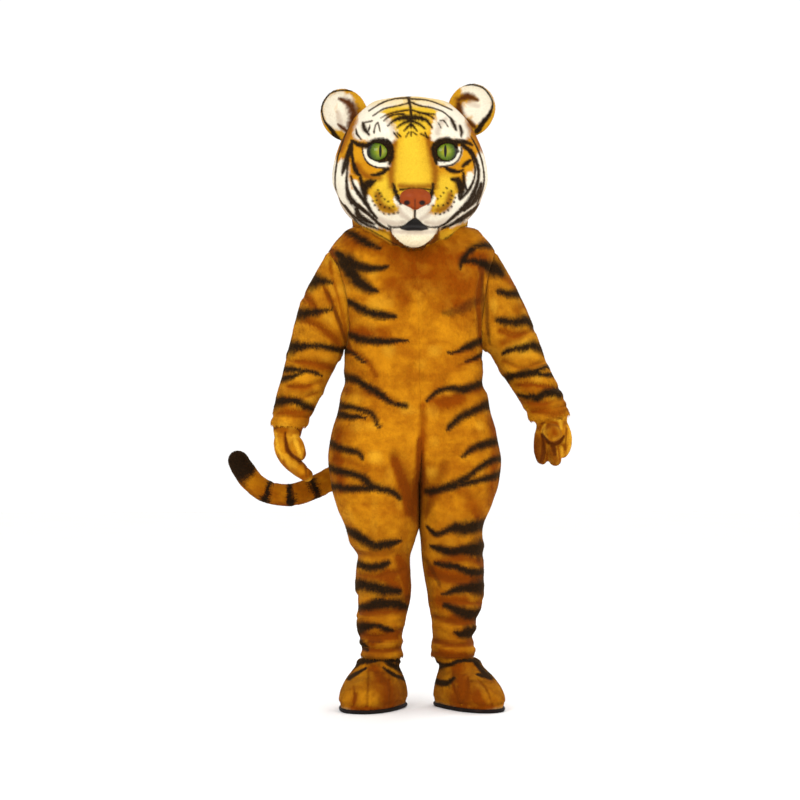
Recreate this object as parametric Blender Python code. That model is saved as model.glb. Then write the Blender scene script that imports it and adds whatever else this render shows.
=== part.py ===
"""Tiger mascot costume: a one-piece plush suit with head, gloves, tail and foot covers.

Metres, +Z up. The costume faces -Y, and the wearer's left is at +X.
The origin is on the wearer's shoulder line, SHOULDER_HEIGHT above the soles.
"""

import math

import bmesh
import bpy
from mathutils import Matrix, Vector

# Driving dimensions
SHOULDER_HEIGHT = 1.382      # wearer's shoulder line above the soles' underside
PLUSH = 0.007                # backing cloth and pile together
FOAM = 0.012                 # head wall: carved foam and plush
SEAM_GAP = 0.0003            # between pieces that are sewn or stuck together
TUCK_GAP = 0.0006            # between a hem and what is tucked inside it
CROTCH_HEIGHT = 0.662
HEM_HEIGHT = 0.150           # leg hems above the soles
GROOVE_TOP = 0.812           # where the two legs' fronts start to round apart
LEG_GAP = 0.0008             # least room between the two legs
SEAM_DIP = 0.003             # how far a centre seam pulls the pile in
ROUNDNESS = 0.90             # power of the quarter arcs; 1 is an ellipse
ARMHOLE_HEIGHT = 1.217       # middle of the armhole
ARMHOLE_HALF = 0.150         # half its height
ARMHOLE_DEPTH = 0.086        # half its width, front to back
SIDES = {"right": -1.0, "left": 1.0}

HEAD_CENTRE = Vector((-0.0195, -0.020, 0.226))
HEAD_TOP = 0.219
RIM_SIDE = -0.150            # head's lower rim at the sides and back
RIM_JAW = -0.184             # under the cheeks
RIM_CHIN = -0.243            # and under the chin
JAW_REACH = 56.0             # degrees from the face's middle to where the rim under the cheeks ends
CHIN_REACH = 34.0            # and the chin
DRAPE_SIDE = -0.190          # neck skirt's lower edge at the sides and back
DRAPE_FRONT = -0.246
EYE_X = {"right": -0.101, "left": 0.090}
EYE_Z = 0.038
NOSE_X = -0.002
NOSE_Z = -0.107

SOLE_THICK = 0.022
SOLE_EDGE = 0.004            # how far the sole stands out past the cover
TAIL_RADIUS = 0.0365

ZIP_TOP = 1.412
ZIP_BOTTOM = 0.922
TAPE_WIDTH = 0.026
TAPE_THICK = 0.0012
TAPE_GAP = 0.0005            # the tape lies this far off the pile
SLIDER_GAP = 0.0022          # slider off the tape: its two ends clear the curved back
SLIDER_HEIGHT = 1.377
SLIDER_WIDTH = 0.010
SLIDER_TALL = 0.014
SLIDER_THICK = 0.0032
LUG_INNER = 0.0028           # half the room between the slider's two lugs
LUG_TALL = 0.0050
BAR_RISE = 0.0032            # pull's axis above the slider's face
BAR_RADIUS = 0.0008
BAR_CLEARANCE = 0.0004
EYE_RADIUS = 0.0024
PULL_LENGTH = 0.034
PULL_THICK = 0.0016
GLOVE_WALL = 0.005
FOOT_WALL = 0.006


def table(columns, rows):
    """Rows of numbers as dictionaries with named columns."""
    names = columns.split()
    return [dict(zip(names, row)) for row in rows]


# Suit sections, from neck to ankle. Height is above the soles; lean is the centre line's X;
# right and left are half widths, front and back are depths; mid is where the front is
# fullest, as a share of the half width; pitch is how far the wall leans inwards, in degrees.
SUIT = table("height lean right left front back mid pitch", [
    (1.4430, -0.0120, 0.105, 0.106, 0.076, 0.086, 0.42, 80),
    (1.4395, -0.0120, 0.150, 0.152, 0.090, 0.097, 0.42, 74),
    (1.4330, -0.0120, 0.189, 0.192, 0.104, 0.108, 0.42, 58),
    (1.4100, -0.0117, 0.216, 0.216, 0.118, 0.118, 0.42, 46),
    (1.3860, -0.0110, 0.238, 0.236, 0.129, 0.124, 0.42, 40),
    (1.3620, -0.0105, 0.253, 0.248, 0.137, 0.129, 0.42, 24),
    (1.3120, -0.0080, 0.243, 0.239, 0.146, 0.133, 0.42, 6),
    (1.2180, -0.0050, 0.227, 0.224, 0.155, 0.137, 0.42, 0),
    (1.1220, -0.0030, 0.215, 0.207, 0.156, 0.134, 0.42, 0),
    (1.0260, -0.0010, 0.215, 0.202, 0.152, 0.128, 0.42, 0),
    (0.9780, 0.0000, 0.216, 0.201, 0.151, 0.127, 0.42, 0),
    (0.9300, 0.0013, 0.229, 0.215, 0.153, 0.131, 0.42, 0),
    (0.8820, 0.0030, 0.240, 0.222, 0.156, 0.137, 0.43, 0),
    (0.8340, 0.0045, 0.256, 0.235, 0.160, 0.144, 0.44, 0),
    (0.7860, 0.0060, 0.267, 0.243, 0.162, 0.150, 0.45, 0),
    (0.7380, 0.0075, 0.273, 0.250, 0.161, 0.153, 0.46, 0),
    (0.6900, 0.0085, 0.269, 0.244, 0.157, 0.152, 0.48, 0),
    (0.6420, 0.0090, 0.261, 0.234, 0.150, 0.148, 0.50, 0),
    (0.5940, 0.0090, 0.246, 0.216, 0.141, 0.141, 0.50, 0),
    (0.5460, 0.0090, 0.225, 0.195, 0.131, 0.133, 0.50, 0),
    (0.4980, 0.0090, 0.210, 0.192, 0.121, 0.125, 0.50, 0),
    (0.4500, 0.0090, 0.189, 0.198, 0.113, 0.119, 0.50, 0),
    (0.4020, 0.0090, 0.192, 0.198, 0.106, 0.114, 0.50, 0),
    (0.3540, 0.0090, 0.193, 0.198, 0.101, 0.110, 0.50, 0),
    (0.3060, 0.0085, 0.183, 0.194, 0.096, 0.106, 0.50, 0),
    (0.2580, 0.0080, 0.185, 0.175, 0.092, 0.102, 0.50, 0),
    (0.2100, 0.0070, 0.184, 0.170, 0.089, 0.100, 0.50, 0),
    (0.1780, 0.0060, 0.172, 0.172, 0.086, 0.097, 0.50, 0),
    (0.1500, 0.0060, 0.172, 0.172, 0.086, 0.096, 0.50, 0),
])

# Inner edge of each leg, from the centre line
INSEAM = table("height right left", [
    (0.682, 0.0, 0.0),
    (0.542, 0.0, 0.0),
    (0.506, 0.0080, 0.0030),
    (0.450, 0.0240, 0.0070),
    (0.402, 0.0240, 0.0120),
    (0.354, 0.0215, 0.0210),
    (0.306, 0.0265, 0.0275),
    (0.258, 0.0380, 0.0370),
    (0.210, 0.0460, 0.0410),
    (0.178, 0.0460, 0.0390),
    (0.150, 0.0440, 0.0380),
])

# Largest folds of the suit. Place is round the half body: 0 at the centre front or inseam,
# 0.5 at the side seam, 1 at the centre back; size is half of each fold's reach; slope is how
# much its height changes over one unit of place; rise is outwards, in metres.
FOLDS = table("side height place height_size place_size slope rise", [
    (0, 1.312, 0.40, 0.012, 0.060, -0.5, -0.006),
    (0, 1.132, 0.42, 0.030, 0.060, 0.6, -0.007),
    (0, 1.002, 0.50, 0.016, 0.220, 0.1, 0.006),
    (0, 0.967, 0.50, 0.014, 0.200, -0.1, -0.005),
    (1, 0.622, 0.30, 0.018, 0.150, 0.3, -0.006),
    (-1, 0.607, 0.30, 0.018, 0.150, 0.3, -0.006),
    (0, 0.482, 0.30, 0.014, 0.200, 0.15, 0.005),
    (0, 0.454, 0.35, 0.014, 0.220, -0.1, -0.006),
    (1, 0.327, 0.60, 0.014, 0.300, 0.1, -0.005),
    (-1, 0.334, 0.60, 0.014, 0.300, -0.1, -0.005),
    (0, 0.244, 0.30, 0.012, 0.300, 0.05, 0.005),
    (0, 0.208, 0.40, 0.010, 0.400, -0.05, -0.006),
])

# Sleeve rings below the armhole: the ring's inner point (next to the body) and outer point,
# as X away from the centre plane and height above the soles, then its middle's Y and its
# half depth.
SLEEVES = {
    "right": table("inner_x inner_z outer_x outer_z mid_y depth", [
        (0.219, 1.053, 0.312, 1.282, 0.000, 0.098),
        (0.225, 1.042, 0.348, 1.210, -0.002, 0.094),
        (0.234, 1.030, 0.371, 1.122, -0.004, 0.086),
        (0.249, 1.002, 0.390, 1.048, -0.008, 0.080),
        (0.264, 0.972, 0.404, 0.990, -0.012, 0.076),
        (0.285, 0.927, 0.420, 0.936, -0.018, 0.070),
        (0.306, 0.882, 0.432, 0.886, -0.024, 0.064),
        (0.329, 0.838, 0.438, 0.844, -0.030, 0.057),
    ]),
    "left": table("inner_x inner_z outer_x outer_z mid_y depth", [
        (0.207, 1.063, 0.281, 1.298, 0.000, 0.098),
        (0.215, 1.060, 0.318, 1.226, -0.002, 0.094),
        (0.226, 1.050, 0.350, 1.152, -0.004, 0.086),
        (0.243, 1.020, 0.375, 1.082, -0.008, 0.080),
        (0.263, 0.988, 0.399, 1.020, -0.012, 0.076),
        (0.291, 0.945, 0.427, 0.968, -0.018, 0.070),
        (0.318, 0.898, 0.449, 0.918, -0.024, 0.064),
        (0.340, 0.854, 0.462, 0.874, -0.030, 0.058),
    ]),
}
RING = 16                    # points round a sleeve or a leg

# Glove fingers: three places along each, from the middle of the sleeve's hem; out is away
# from the body.
FINGERS = {
    "right": table("name x0 y0 z0 r0 x1 y1 z1 r1 x2 y2 z2 r2", [
        ("index", -0.012, -0.030, -0.030, 0.026, -0.006, -0.030, -0.085, 0.027, 0.048, -0.022, -0.143, 0.021),
        ("middle", -0.014, 0.004, -0.030, 0.026, -0.008, 0.006, -0.088, 0.027, 0.055, 0.010, -0.148, 0.021),
        ("ring", -0.012, 0.034, -0.030, 0.025, -0.004, 0.038, -0.080, 0.025, 0.040, 0.038, -0.130, 0.020),
        ("thumb", 0.012, -0.020, -0.034, 0.020, 0.025, -0.054, -0.062, 0.024, 0.031, -0.056, -0.084, 0.021),
    ]),
    "left": table("name x0 y0 z0 r0 x1 y1 z1 r1 x2 y2 z2 r2", [
        ("index", -0.022, 0.000, -0.030, 0.021, -0.031, -0.004, -0.084, 0.021, -0.026, -0.020, -0.122, 0.019),
        ("middle", 0.000, -0.004, -0.040, 0.023, 0.008, -0.012, -0.090, 0.023, 0.012, -0.030, -0.124, 0.021),
        ("ring", 0.034, 0.004, -0.024, 0.024, 0.045, 0.000, -0.066, 0.024, 0.035, -0.016, -0.100, 0.021),
        ("thumb", 0.002, -0.016, -0.042, 0.024, 0.006, -0.046, -0.050, 0.029, 0.009, -0.066, -0.054, 0.026),
    ]),
}

# Palm rings below the hem: middle from the hem's middle, half width and half depth
PALMS = {
    "right": table("x y z wide deep", [
        (-0.002, -0.002, -0.020, 0.043, 0.050),
        (-0.004, 0.000, -0.046, 0.036, 0.050),
        (-0.006, 0.002, -0.070, 0.026, 0.038),
    ]),
    "left": table("x y z wide deep", [
        (0.004, -0.002, -0.018, 0.048, 0.048),
        (0.006, 0.000, -0.044, 0.048, 0.044),
        (0.006, 0.000, -0.066, 0.034, 0.028),
    ]),
}

# Foot cover rings above the sole: reach to the toes and heel, half width, and how far the
# ring's outline is the foot's own (1) and not the leg's (0)
FOOT = table("height toe heel wide own", [
    (0.0223, 0.222, 0.086, 0.090, 1.0),
    (0.0380, 0.226, 0.090, 0.094, 1.0),
    (0.0600, 0.208, 0.090, 0.092, 1.0),
    (0.0860, 0.164, 0.088, 0.084, 1.0),
    (0.1100, 0.118, 0.088, 0.073, 0.9),
    (0.1320, 0.092, 0.088, 0.064, 0.6),
    (0.1500, 0.080, 0.085, 0.058, 0.0),
    (0.1720, 0.080, 0.085, 0.058, 0.0),
])
FEET = {  # ankle middle's X, how far the toes turn out in degrees, the foot's length and width
    "right": {"x": -0.117, "splay": 18.0, "long": 1.00, "broad": 1.00},
    "left": {"x": 0.138, "splay": 18.0, "long": 1.02, "broad": 0.94},
}

# Head sections from the crown down, about HEAD_CENTRE
HEAD = table("height wide front back", [
    (0.2150, 0.052, 0.046, 0.050),
    (0.2040, 0.106, 0.092, 0.100),
    (0.1860, 0.134, 0.118, 0.132),
    (0.1560, 0.165, 0.156, 0.170),
    (0.1240, 0.187, 0.178, 0.194),
    (0.0900, 0.205, 0.191, 0.212),
    (0.0560, 0.219, 0.197, 0.223),
    (0.0220, 0.229, 0.198, 0.229),
    (-0.0120, 0.234, 0.200, 0.230),
    (-0.0460, 0.232, 0.199, 0.227),
    (-0.0800, 0.218, 0.195, 0.216),
    (-0.1080, 0.208, 0.190, 0.204),
    (-0.1300, 0.194, 0.184, 0.188),
    (-0.1560, 0.170, 0.174, 0.166),
    (-0.2000, 0.128, 0.160, 0.130),
    (-0.2400, 0.100, 0.140, 0.100),
])
FACE_STEPS = 9               # columns from the face's middle to each temple, closely set
FACE_REACH = 64.0            # degrees they reach round
REAR_STEPS = 14              # columns' spaces round the rest of the head

# What the face pushes forward, as soft mounds about the head's middle
MOUNDS = table("x z wide tall push", [
    (0.060, -0.122, 0.041, 0.040, 0.056),
    (-0.070, -0.122, 0.041, 0.040, 0.056),
    (-0.003, -0.100, 0.040, 0.036, 0.022),
    (-0.004, -0.030, 0.040, 0.052, 0.022),
    (0.086, 0.100, 0.050, 0.028, 0.022),
    (-0.096, 0.100, 0.050, 0.028, 0.022),
    (0.090, 0.037, 0.036, 0.029, -0.026),
    (-0.101, 0.037, 0.036, 0.029, -0.026),
    (0.146, -0.055, 0.045, 0.055, 0.012),
    (-0.154, -0.055, 0.045, 0.055, 0.012),
    (-0.003, -0.224, 0.050, 0.024, 0.052),
    (-0.003, -0.181, 0.034, 0.010, -0.014),
])
MOUTH = table("x z", [       # right half of the opening, top to bottom
    (0.006, -0.161),
    (0.014, -0.166),
    (0.024, -0.175),
    (0.038, -0.184),
    (0.040, -0.188),
    (0.020, -0.193),
])

EARS = {  # middle about the head's middle, half width and height, roll in degrees
    "right": {"x": -0.197, "z": 0.166, "wide": 0.069, "tall": 0.075, "roll": 22.0},
    "left": {"x": 0.186, "z": 0.183, "wide": 0.070, "tall": 0.076, "roll": -20.0},
}
EAR_THICK = 0.014
EAR_CUP = 0.030

# Tail's middle line from its root on the back to its tip: X, Y, height above the soles
TAIL = table("x y height", [
    (0.006, 0.128, 0.794),
    (-0.020, 0.182, 0.782),
    (-0.100, 0.207, 0.746),
    (-0.190, 0.203, 0.704),
    (-0.261, 0.189, 0.672),
    (-0.327, 0.176, 0.641),
    (-0.382, 0.166, 0.630),
    (-0.442, 0.157, 0.641),
    (-0.486, 0.151, 0.671),
    (-0.519, 0.147, 0.713),
    (-0.530, 0.145, 0.734),
])

COLOURS = {  # base colour, roughness, metallic
    "plush": ((0.58, 0.24, 0.015), 0.95, 0.0),
    "sleeve": ((0.52, 0.20, 0.012), 0.95, 0.0),
    "face": ((0.90, 0.47, 0.02), 0.95, 0.0),
    "cream": ((0.93, 0.84, 0.62), 0.95, 0.0),
    "nose": ((0.45, 0.06, 0.01), 0.35, 0.0),
    "eye": ((0.16, 0.26, 0.01), 0.08, 0.0),
    "black": ((0.012, 0.010, 0.008), 0.80, 0.0),
    "rubber": ((0.016, 0.009, 0.008), 0.60, 0.0),
    "glove": ((0.66, 0.30, 0.012), 0.95, 0.0),
    "tape": ((0.40, 0.16, 0.012), 0.85, 0.0),
    "metal": ((0.55, 0.40, 0.18), 0.35, 1.0),
}


def smooth(rows, key, value):
    """One row read from a table at a value of its key column, by a smooth curve."""
    ordered = sorted(rows, key=lambda row: row[key])
    value = min(max(value, ordered[0][key]), ordered[-1][key])
    low = 0
    while low < len(ordered) - 2 and value > ordered[low + 1][key]:
        low += 1
    before = ordered[max(low - 1, 0)]
    start, end = ordered[low], ordered[low + 1]
    after = ordered[min(low + 2, len(ordered) - 1)]
    span = end[key] - start[key]
    u = (value - start[key]) / span
    row = {key: value}
    for name in start:
        if name == key:
            continue
        slope_0 = (end[name] - before[name]) / max(end[key] - before[key], 1e-9)
        slope_1 = (after[name] - start[name]) / max(after[key] - start[key], 1e-9)
        row[name] = ((2 * u**3 - 3 * u**2 + 1) * start[name] + (u**3 - 2 * u**2 + u) * span * slope_0
                     + (3 * u**2 - 2 * u**3) * end[name] + (u**3 - u**2) * span * slope_1)
    return row


def fold_rise(side, height, place):
    """How far the folds push the suit's wall out at one place."""
    rise = 0.0
    for fold in FOLDS:
        if fold["side"] not in (0, side):
            continue
        dh = (height - fold["height"] - fold["slope"] * 0.1 * (place - fold["place"])) / fold["height_size"]
        dp = (place - fold["place"]) / fold["place_size"]
        rise += fold["rise"] * math.exp(-dh * dh - dp * dp)
    return rise


def arc(start, end, angle):
    """Quarter arc: at 0 it is at start and runs along Y, at 90 degrees at end, along X."""
    c = max(math.cos(angle), 0.0) ** ROUNDNESS
    s = max(math.sin(angle), 0.0) ** ROUNDNESS
    return end[0] + (start[0] - end[0]) * c, start[1] + (end[1] - start[1]) * s


def armhole_edge(height):
    """Half width of the armhole, front to back, at a height, or 0 outside it."""
    u = (height - ARMHOLE_HEIGHT) / ARMHOLE_HALF
    return ARMHOLE_DEPTH * math.sqrt(1 - u * u) if abs(u) < 0.9999 else 0.0


def suit_point(name, height, place, inset=0.0, seam=SEAM_GAP / 2, armhole=True):
    """A point of the suit's outer surface, moved in by inset, at a place round its half."""
    side = SIDES[name]
    row = smooth(SUIT, "height", height)
    pitch = math.radians(row["pitch"])
    drop = inset * math.sin(pitch)
    inward = inset * math.cos(pitch)
    half = row[name] - inward
    crotch = CROTCH_HEIGHT + inset
    depth = row["front" if place <= 0.5 else "back"] - inward
    share, start_x = 1.0, seam
    if height < GROOVE_TOP:
        u = min((GROOVE_TOP - height) / (GROOVE_TOP - crotch), 1.0)
        share = 1 - u * u
    if height <= crotch:
        start_x = max(smooth(INSEAM, "height", height)[name], LEG_GAP / 2) + inward
    middle = start_x + (half - start_x) * row["mid"]
    start = (start_x, max((depth - SEAM_DIP) * share, seam))
    top = (middle, depth)
    p = place if place <= 0.5 else 1 - place
    if p <= 0.25:
        x, y = arc(start, top, p / 0.25 * math.pi / 2)
    else:
        last = 0.0
        if armhole:
            last = math.asin((armhole_edge(height) / depth) ** (1 / ROUNDNESS))
        angle = math.pi / 2 + (last - math.pi / 2) * (p - 0.25) / 0.25
        x, y = arc((half, seam), top, angle)
    rise = fold_rise(side, height, place)
    out_x = (x - middle) if x > middle else (x - middle) * (1 - share)
    length = math.hypot(out_x, y) or 1.0
    x = max(x + rise * out_x / length, start_x)
    y = max(y + rise * y / length, seam)
    if place <= 0.5:
        y = -y
    return Vector((row["lean"] + side * x, y, height - drop - SHOULDER_HEIGHT))


def suit_heights():
    """Heights of the suit's rings, with one at each point of the armhole."""
    rows = [1.443, 1.4395, 1.433, 1.41, 1.386]
    rows += [ARMHOLE_HEIGHT + ARMHOLE_HALF * math.cos(2 * math.pi * k / RING) for k in range(RING // 2 + 1)]
    rows += [1.026, 1., 0.967, 0.93, 0.882, 0.834, 0.786, 0.742, 0.704, 0.679, CROTCH_HEIGHT]
    rows += [0.642, 0.61, 0.574, 0.538, 0.502, 0.478, 0.454, 0.428, 0.382, 0.33, 0.288, 0.244, 0.218]
    rows += [0.194, 0.172, HEM_HEIGHT]
    return rows


PANEL_PLACES = [0.0, 0.06, 0.15, 0.25, 0.32, 0.38, 0.44, 0.5]
FOOT_PLACES = PANEL_PLACES + [1 - p for p in PANEL_PLACES[-2:0:-1]]


def grid_solid(outer, inner):
    """A closed wall between two grids of points (rows of equal length)."""
    rows, columns = len(outer), len(outer[0])
    mesh = bmesh.new()
    layers = [[[mesh.verts.new(p) for p in row] for row in grid] for grid in (outer, inner)]
    for i in range(rows - 1):
        for j in range(columns - 1):
            for layer, turn in zip(layers, (1, -1)):
                quad = [layer[i][j], layer[i + 1][j], layer[i + 1][j + 1], layer[i][j + 1]]
                mesh.faces.new(quad[::turn])
    border = [(0, j) for j in range(columns)] + [(i, columns - 1) for i in range(1, rows)]
    border += [(rows - 1, j) for j in range(columns - 2, -1, -1)] + [(i, 0) for i in range(rows - 2, 0, -1)]
    for (i, j), (k, m) in zip(border, border[1:] + border[:1]):
        mesh.faces.new([layers[0][i][j], layers[0][k][m], layers[1][k][m], layers[1][i][j]])
    return mesh


def tube_solid(outer, inner=None, caps=False):
    """A closed wall between two stacks of closed rings, or a capped solid of one stack."""
    mesh = bmesh.new()
    stacks = [outer] if inner is None else [outer, inner]
    layers = [[[mesh.verts.new(p) for p in ring] for ring in stack] for stack in stacks]
    count = len(outer[0])
    for layer, turn in zip(layers, (1, -1)):
        for ring, lower in zip(layer, layer[1:]):
            for j in range(count):
                k = (j + 1) % count
                mesh.faces.new([ring[j], lower[j], lower[k], ring[k]][::turn])
    if inner is None:
        for ring in (layers[0][0], layers[0][-1]):
            middle = mesh.verts.new(sum((v.co for v in ring), Vector()) / count)
            for j in range(count):
                mesh.faces.new([ring[j], ring[(j + 1) % count], middle])
    else:
        for i in (0, -1):
            for j in range(count):
                k = (j + 1) % count
                mesh.faces.new([layers[0][i][j], layers[0][i][k], layers[1][i][k], layers[1][i][j]])
    return mesh


def material(name):
    """The Principled material of one cloth or part, made once."""
    found = bpy.data.materials.get(name)
    if found:
        return found
    made = bpy.data.materials.new(name)
    made.use_nodes = True
    shader = made.node_tree.nodes["Principled BSDF"]
    colour, roughness, metallic = COLOURS[name]
    shader.inputs["Base Color"].default_value = (*colour, 1.0)
    shader.inputs["Roughness"].default_value = roughness
    shader.inputs["Metallic"].default_value = metallic
    made.diffuse_color = (*colour, 1.0)
    return made


def add_piece(name, mesh, cloth, cutter=False):
    """A named object from a bmesh, faces outwards, quads split, shaded smooth."""
    bmesh.ops.recalc_face_normals(mesh, faces=mesh.faces[:])
    bmesh.ops.triangulate(mesh, faces=mesh.faces[:])
    data = bpy.data.meshes.new(name)
    mesh.to_mesh(data)
    mesh.free()
    data.shade_smooth()
    piece = bpy.data.objects.new(name, data)
    bpy.context.scene.collection.objects.link(piece)
    if cutter:
        piece.hide_render = True
        piece.display_type = "WIRE"
        piece.hide_set(True)
    else:
        data.materials.append(material(cloth))
        data.set_sharp_from_angle(angle=math.radians(50))
    return piece


def add_boolean(piece, other, operation="DIFFERENCE", solver="EXACT"):
    """A Boolean modifier; the manifold solver is for where the exact one leaves gaps."""
    modifier = piece.modifiers.new(f"{operation.lower()}_{other.name}"[:60], "BOOLEAN")
    modifier.operation = operation
    modifier.object = other
    modifier.solver = solver


def suit_grid(name, back, inset, seam=SEAM_GAP / 2):
    """A panel's points at one depth in its wall: rows down, columns round the half body."""
    places = [1 - p for p in PANEL_PLACES] if back else PANEL_PLACES
    grid = []
    for height in suit_heights():
        # beside place 0.5 the two panels part; a back place stays just above it
        row = [suit_point(name, height, 0.5 + 1e-7 if back and p == 0.5 else p, inset, seam) for p in places]
        grid.append(row)
    return grid


def add_suit_panels():
    """Front and back panels of each side, neck to ankle."""
    for name in SIDES:
        for face, back in (("front", False), ("back", True)):
            wall = grid_solid(suit_grid(name, back, 0.0), suit_grid(name, back, PLUSH))
            add_piece(f"{face}_{name}", wall, "plush")


def suit_cutters():
    """Thick copies of the panels, one seam gap larger, to trim what is sewn on them."""
    cutters = []
    for name in SIDES:
        for face, back in (("front", False), ("back", True)):
            outer = suit_grid(name, back, -SEAM_GAP, -0.001)
            inner = suit_grid(name, back, 0.045, -0.001)
            cutters.append(add_piece(f"trim_{face}_{name}", grid_solid(outer, inner), "plush", cutter=True))
    return cutters


def sleeve_ring(name, index, inset, part=0.0):
    """Ring of a sleeve: 0 is the armhole, the last is the hem; part goes on to the next."""
    side = SIDES[name]
    if index == 0:
        ring = []
        for k in range(RING):
            angle = 2 * math.pi * k / RING
            height = ARMHOLE_HEIGHT + ARMHOLE_HALF * math.cos(angle)
            front = math.sin(angle) > 1e-6
            edge = suit_point(name, height, 0.5 if front or k in (0, RING // 2) else 0.5 + 1e-7)
            shrink = Vector((0.0, -math.sin(angle), math.cos(angle))) * inset
            ring.append(edge - shrink + Vector((side * (SEAM_GAP + 0.0002), 0.0, 0.0)))
        ring[0].y = ring[RING // 2].y = 0.0
        return ring
    row = SLEEVES[name][index - 1]
    if part:
        after = SLEEVES[name][index]
        row = {key: row[key] * (1 - part) + after[key] * part for key in row}
    inner = Vector((side * row["inner_x"], row["mid_y"], row["inner_z"] - SHOULDER_HEIGHT))
    outer = Vector((side * row["outer_x"], row["mid_y"], row["outer_z"] - SHOULDER_HEIGHT))
    middle = (inner + outer) / 2
    across = (outer - inner) / 2
    across *= 1 - inset / across.length
    depth = row["depth"] - inset
    ring = []
    for k in range(RING):
        angle = 2 * math.pi * k / RING
        ring.append(middle + across * math.cos(angle) - Vector((0, depth * math.sin(angle), 0)))
    return ring


def add_sleeves():
    for name in SIDES:
        count = len(SLEEVES[name]) + 1
        outer = [sleeve_ring(name, k, 0.0) for k in range(count)]
        inner = [sleeve_ring(name, k, PLUSH) for k in range(count)]
        add_piece(f"sleeve_{name}", tube_solid(outer, inner), "sleeve")


def finger_stack(root, row, shrink):
    """Rings of one rounded finger along a curve through its three places."""
    steps, sides = 4, 8
    places = [root + Vector((row[f"x{k}"], row[f"y{k}"], row[f"z{k}"])) for k in range(3)]
    bend = 2 * places[1] - (places[0] + places[2]) / 2
    stack = []
    first = shrink * 12          # a hollow starts a little further along than its finger
    stations = [(first + (1 - first) * k / steps, 1.0) for k in range(steps + 1)]
    stations += [(1.0, 0.72), (1.0, 0.30)]
    for number, (u, narrow) in enumerate(stations):
        at = places[0] * (1 - u)**2 + bend * 2 * u * (1 - u) + places[2] * u * u
        along = ((bend - places[0]) * (1 - u) + (places[2] - bend) * u).normalized()
        radius = (row["r0"] * (1 - u)**2 + (2 * row["r1"] - (row["r0"] + row["r2"]) / 2) * 2 * u * (1 - u)
                  + row["r2"] * u * u) - shrink
        if number > steps:
            at = at + along * radius * math.sqrt(1 - narrow * narrow)
        front = Vector((0, -1, 0)) - along * along.dot(Vector((0, -1, 0)))
        front.normalize()
        aside = along.cross(front)
        stack.append([at + (front * math.cos(a) + aside * math.sin(a)) * radius * narrow
                      for a in (2 * math.pi * k / sides for k in range(sides))])
    return stack


def palm_stack(name, inset, open_end):
    """Rings of the glove's palm, from inside the sleeve's hem to the knuckles."""
    side = SIDES[name]
    last = len(SLEEVES[name])
    clear = PLUSH + TUCK_GAP + inset
    hem = sleeve_ring(name, last, clear)
    root = sum(hem, Vector()) / RING
    upper = sleeve_ring(name, last - 1, clear, 0.55)
    stack = [upper, hem]
    if open_end:
        stack.insert(0, [p + (p - q) * 0.5 for p, q in zip(upper, hem)])
    for row in PALMS[name]:
        middle = root + Vector((row["x"], row["y"], row["z"] + inset))
        ring = []
        for k in range(RING):
            angle = 2 * math.pi * k / RING
            across = side * (row["wide"] - inset) * math.cos(angle)
            ring.append(middle + Vector((across, -(row["deep"] - inset) * math.sin(angle), 0)))
        stack.append(ring)
    return stack, root


def add_gloves():
    """Paw gloves: palm, thumb and three fingers joined, then hollowed from the wrist."""
    for name in SIDES:
        stack, root = palm_stack(name, 0.0, False)
        glove = add_piece(f"glove_{name}", tube_solid(stack), "glove")
        hollow_stack, root = palm_stack(name, GLOVE_WALL, True)
        hollow = add_piece(f"hollow_{name}", tube_solid(hollow_stack), "glove", cutter=True)
        for row in FINGERS[name]:
            full = tube_solid(finger_stack(root, row, 0.0))
            full = add_piece(f"{row['name']}_{name}", full, "glove", cutter=True)
            add_boolean(glove, full, "UNION", "MANIFOLD")
            core = tube_solid(finger_stack(root, row, GLOVE_WALL))
            core = add_piece(f"core_{row['name']}_{name}", core, "glove", cutter=True)
            add_boolean(hollow, core, "UNION", "MANIFOLD")
        add_boolean(glove, hollow, solver="MANIFOLD")


def foot_ring(name, row, inset):
    """Ring of a foot cover: the foot's own outline below, the leg's at the ankle."""
    side = SIDES[name]
    foot = FEET[name]
    turn = math.radians(foot["splay"]) * side
    height = row["height"]
    ring = []
    for place in FOOT_PLACES:
        angle = 2 * math.pi * place
        reach = row["toe"] if math.sin(angle) > 0 else row["heel"]
        along = math.copysign(abs(math.sin(angle)) ** 0.9, math.sin(angle)) * (reach * foot["long"] - inset)
        across = -math.copysign(abs(math.cos(angle)) ** 0.9, math.cos(angle))
        across *= row["wide"] * foot["broad"] - inset
        across *= side * (1 + 0.06 * math.sin(angle) if angle < math.pi else 1 + 0.20 * math.sin(angle))
        x = foot["x"] + across * math.cos(turn) + along * math.sin(turn)
        y = 0.005 - along * math.cos(turn) + across * math.sin(turn)
        own = Vector((x, y, height - SHOULDER_HEIGHT))
        leg = suit_point(name, max(height, HEM_HEIGHT), place, inset + PLUSH + TUCK_GAP, 0.0)
        leg.z = own.z
        ring.append(own * row["own"] + leg * (1 - row["own"]))
    return ring


def add_feet():
    """Hollow foot covers, and flat soles under them."""
    for name in SIDES:
        rows = list(reversed(FOOT))
        outer = [foot_ring(name, row, 0.0) for row in rows]
        inner = [foot_ring(name, row, FOOT_WALL) for row in rows]
        add_piece(f"foot_{name}", tube_solid(outer, inner), "plush")
        stack = []
        edges = ((1.0, SOLE_EDGE * 0.6), (0.72, SOLE_EDGE), (0.25, SOLE_EDGE * 0.5), (0.0, -0.006))
        for share, grow in edges:
            ring = foot_ring(name, FOOT[0], -grow)
            for point in ring:
                point.z = SOLE_THICK * share - SHOULDER_HEIGHT
            stack.append(ring)
        add_piece(f"sole_{name}", tube_solid(stack), "rubber")


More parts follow.
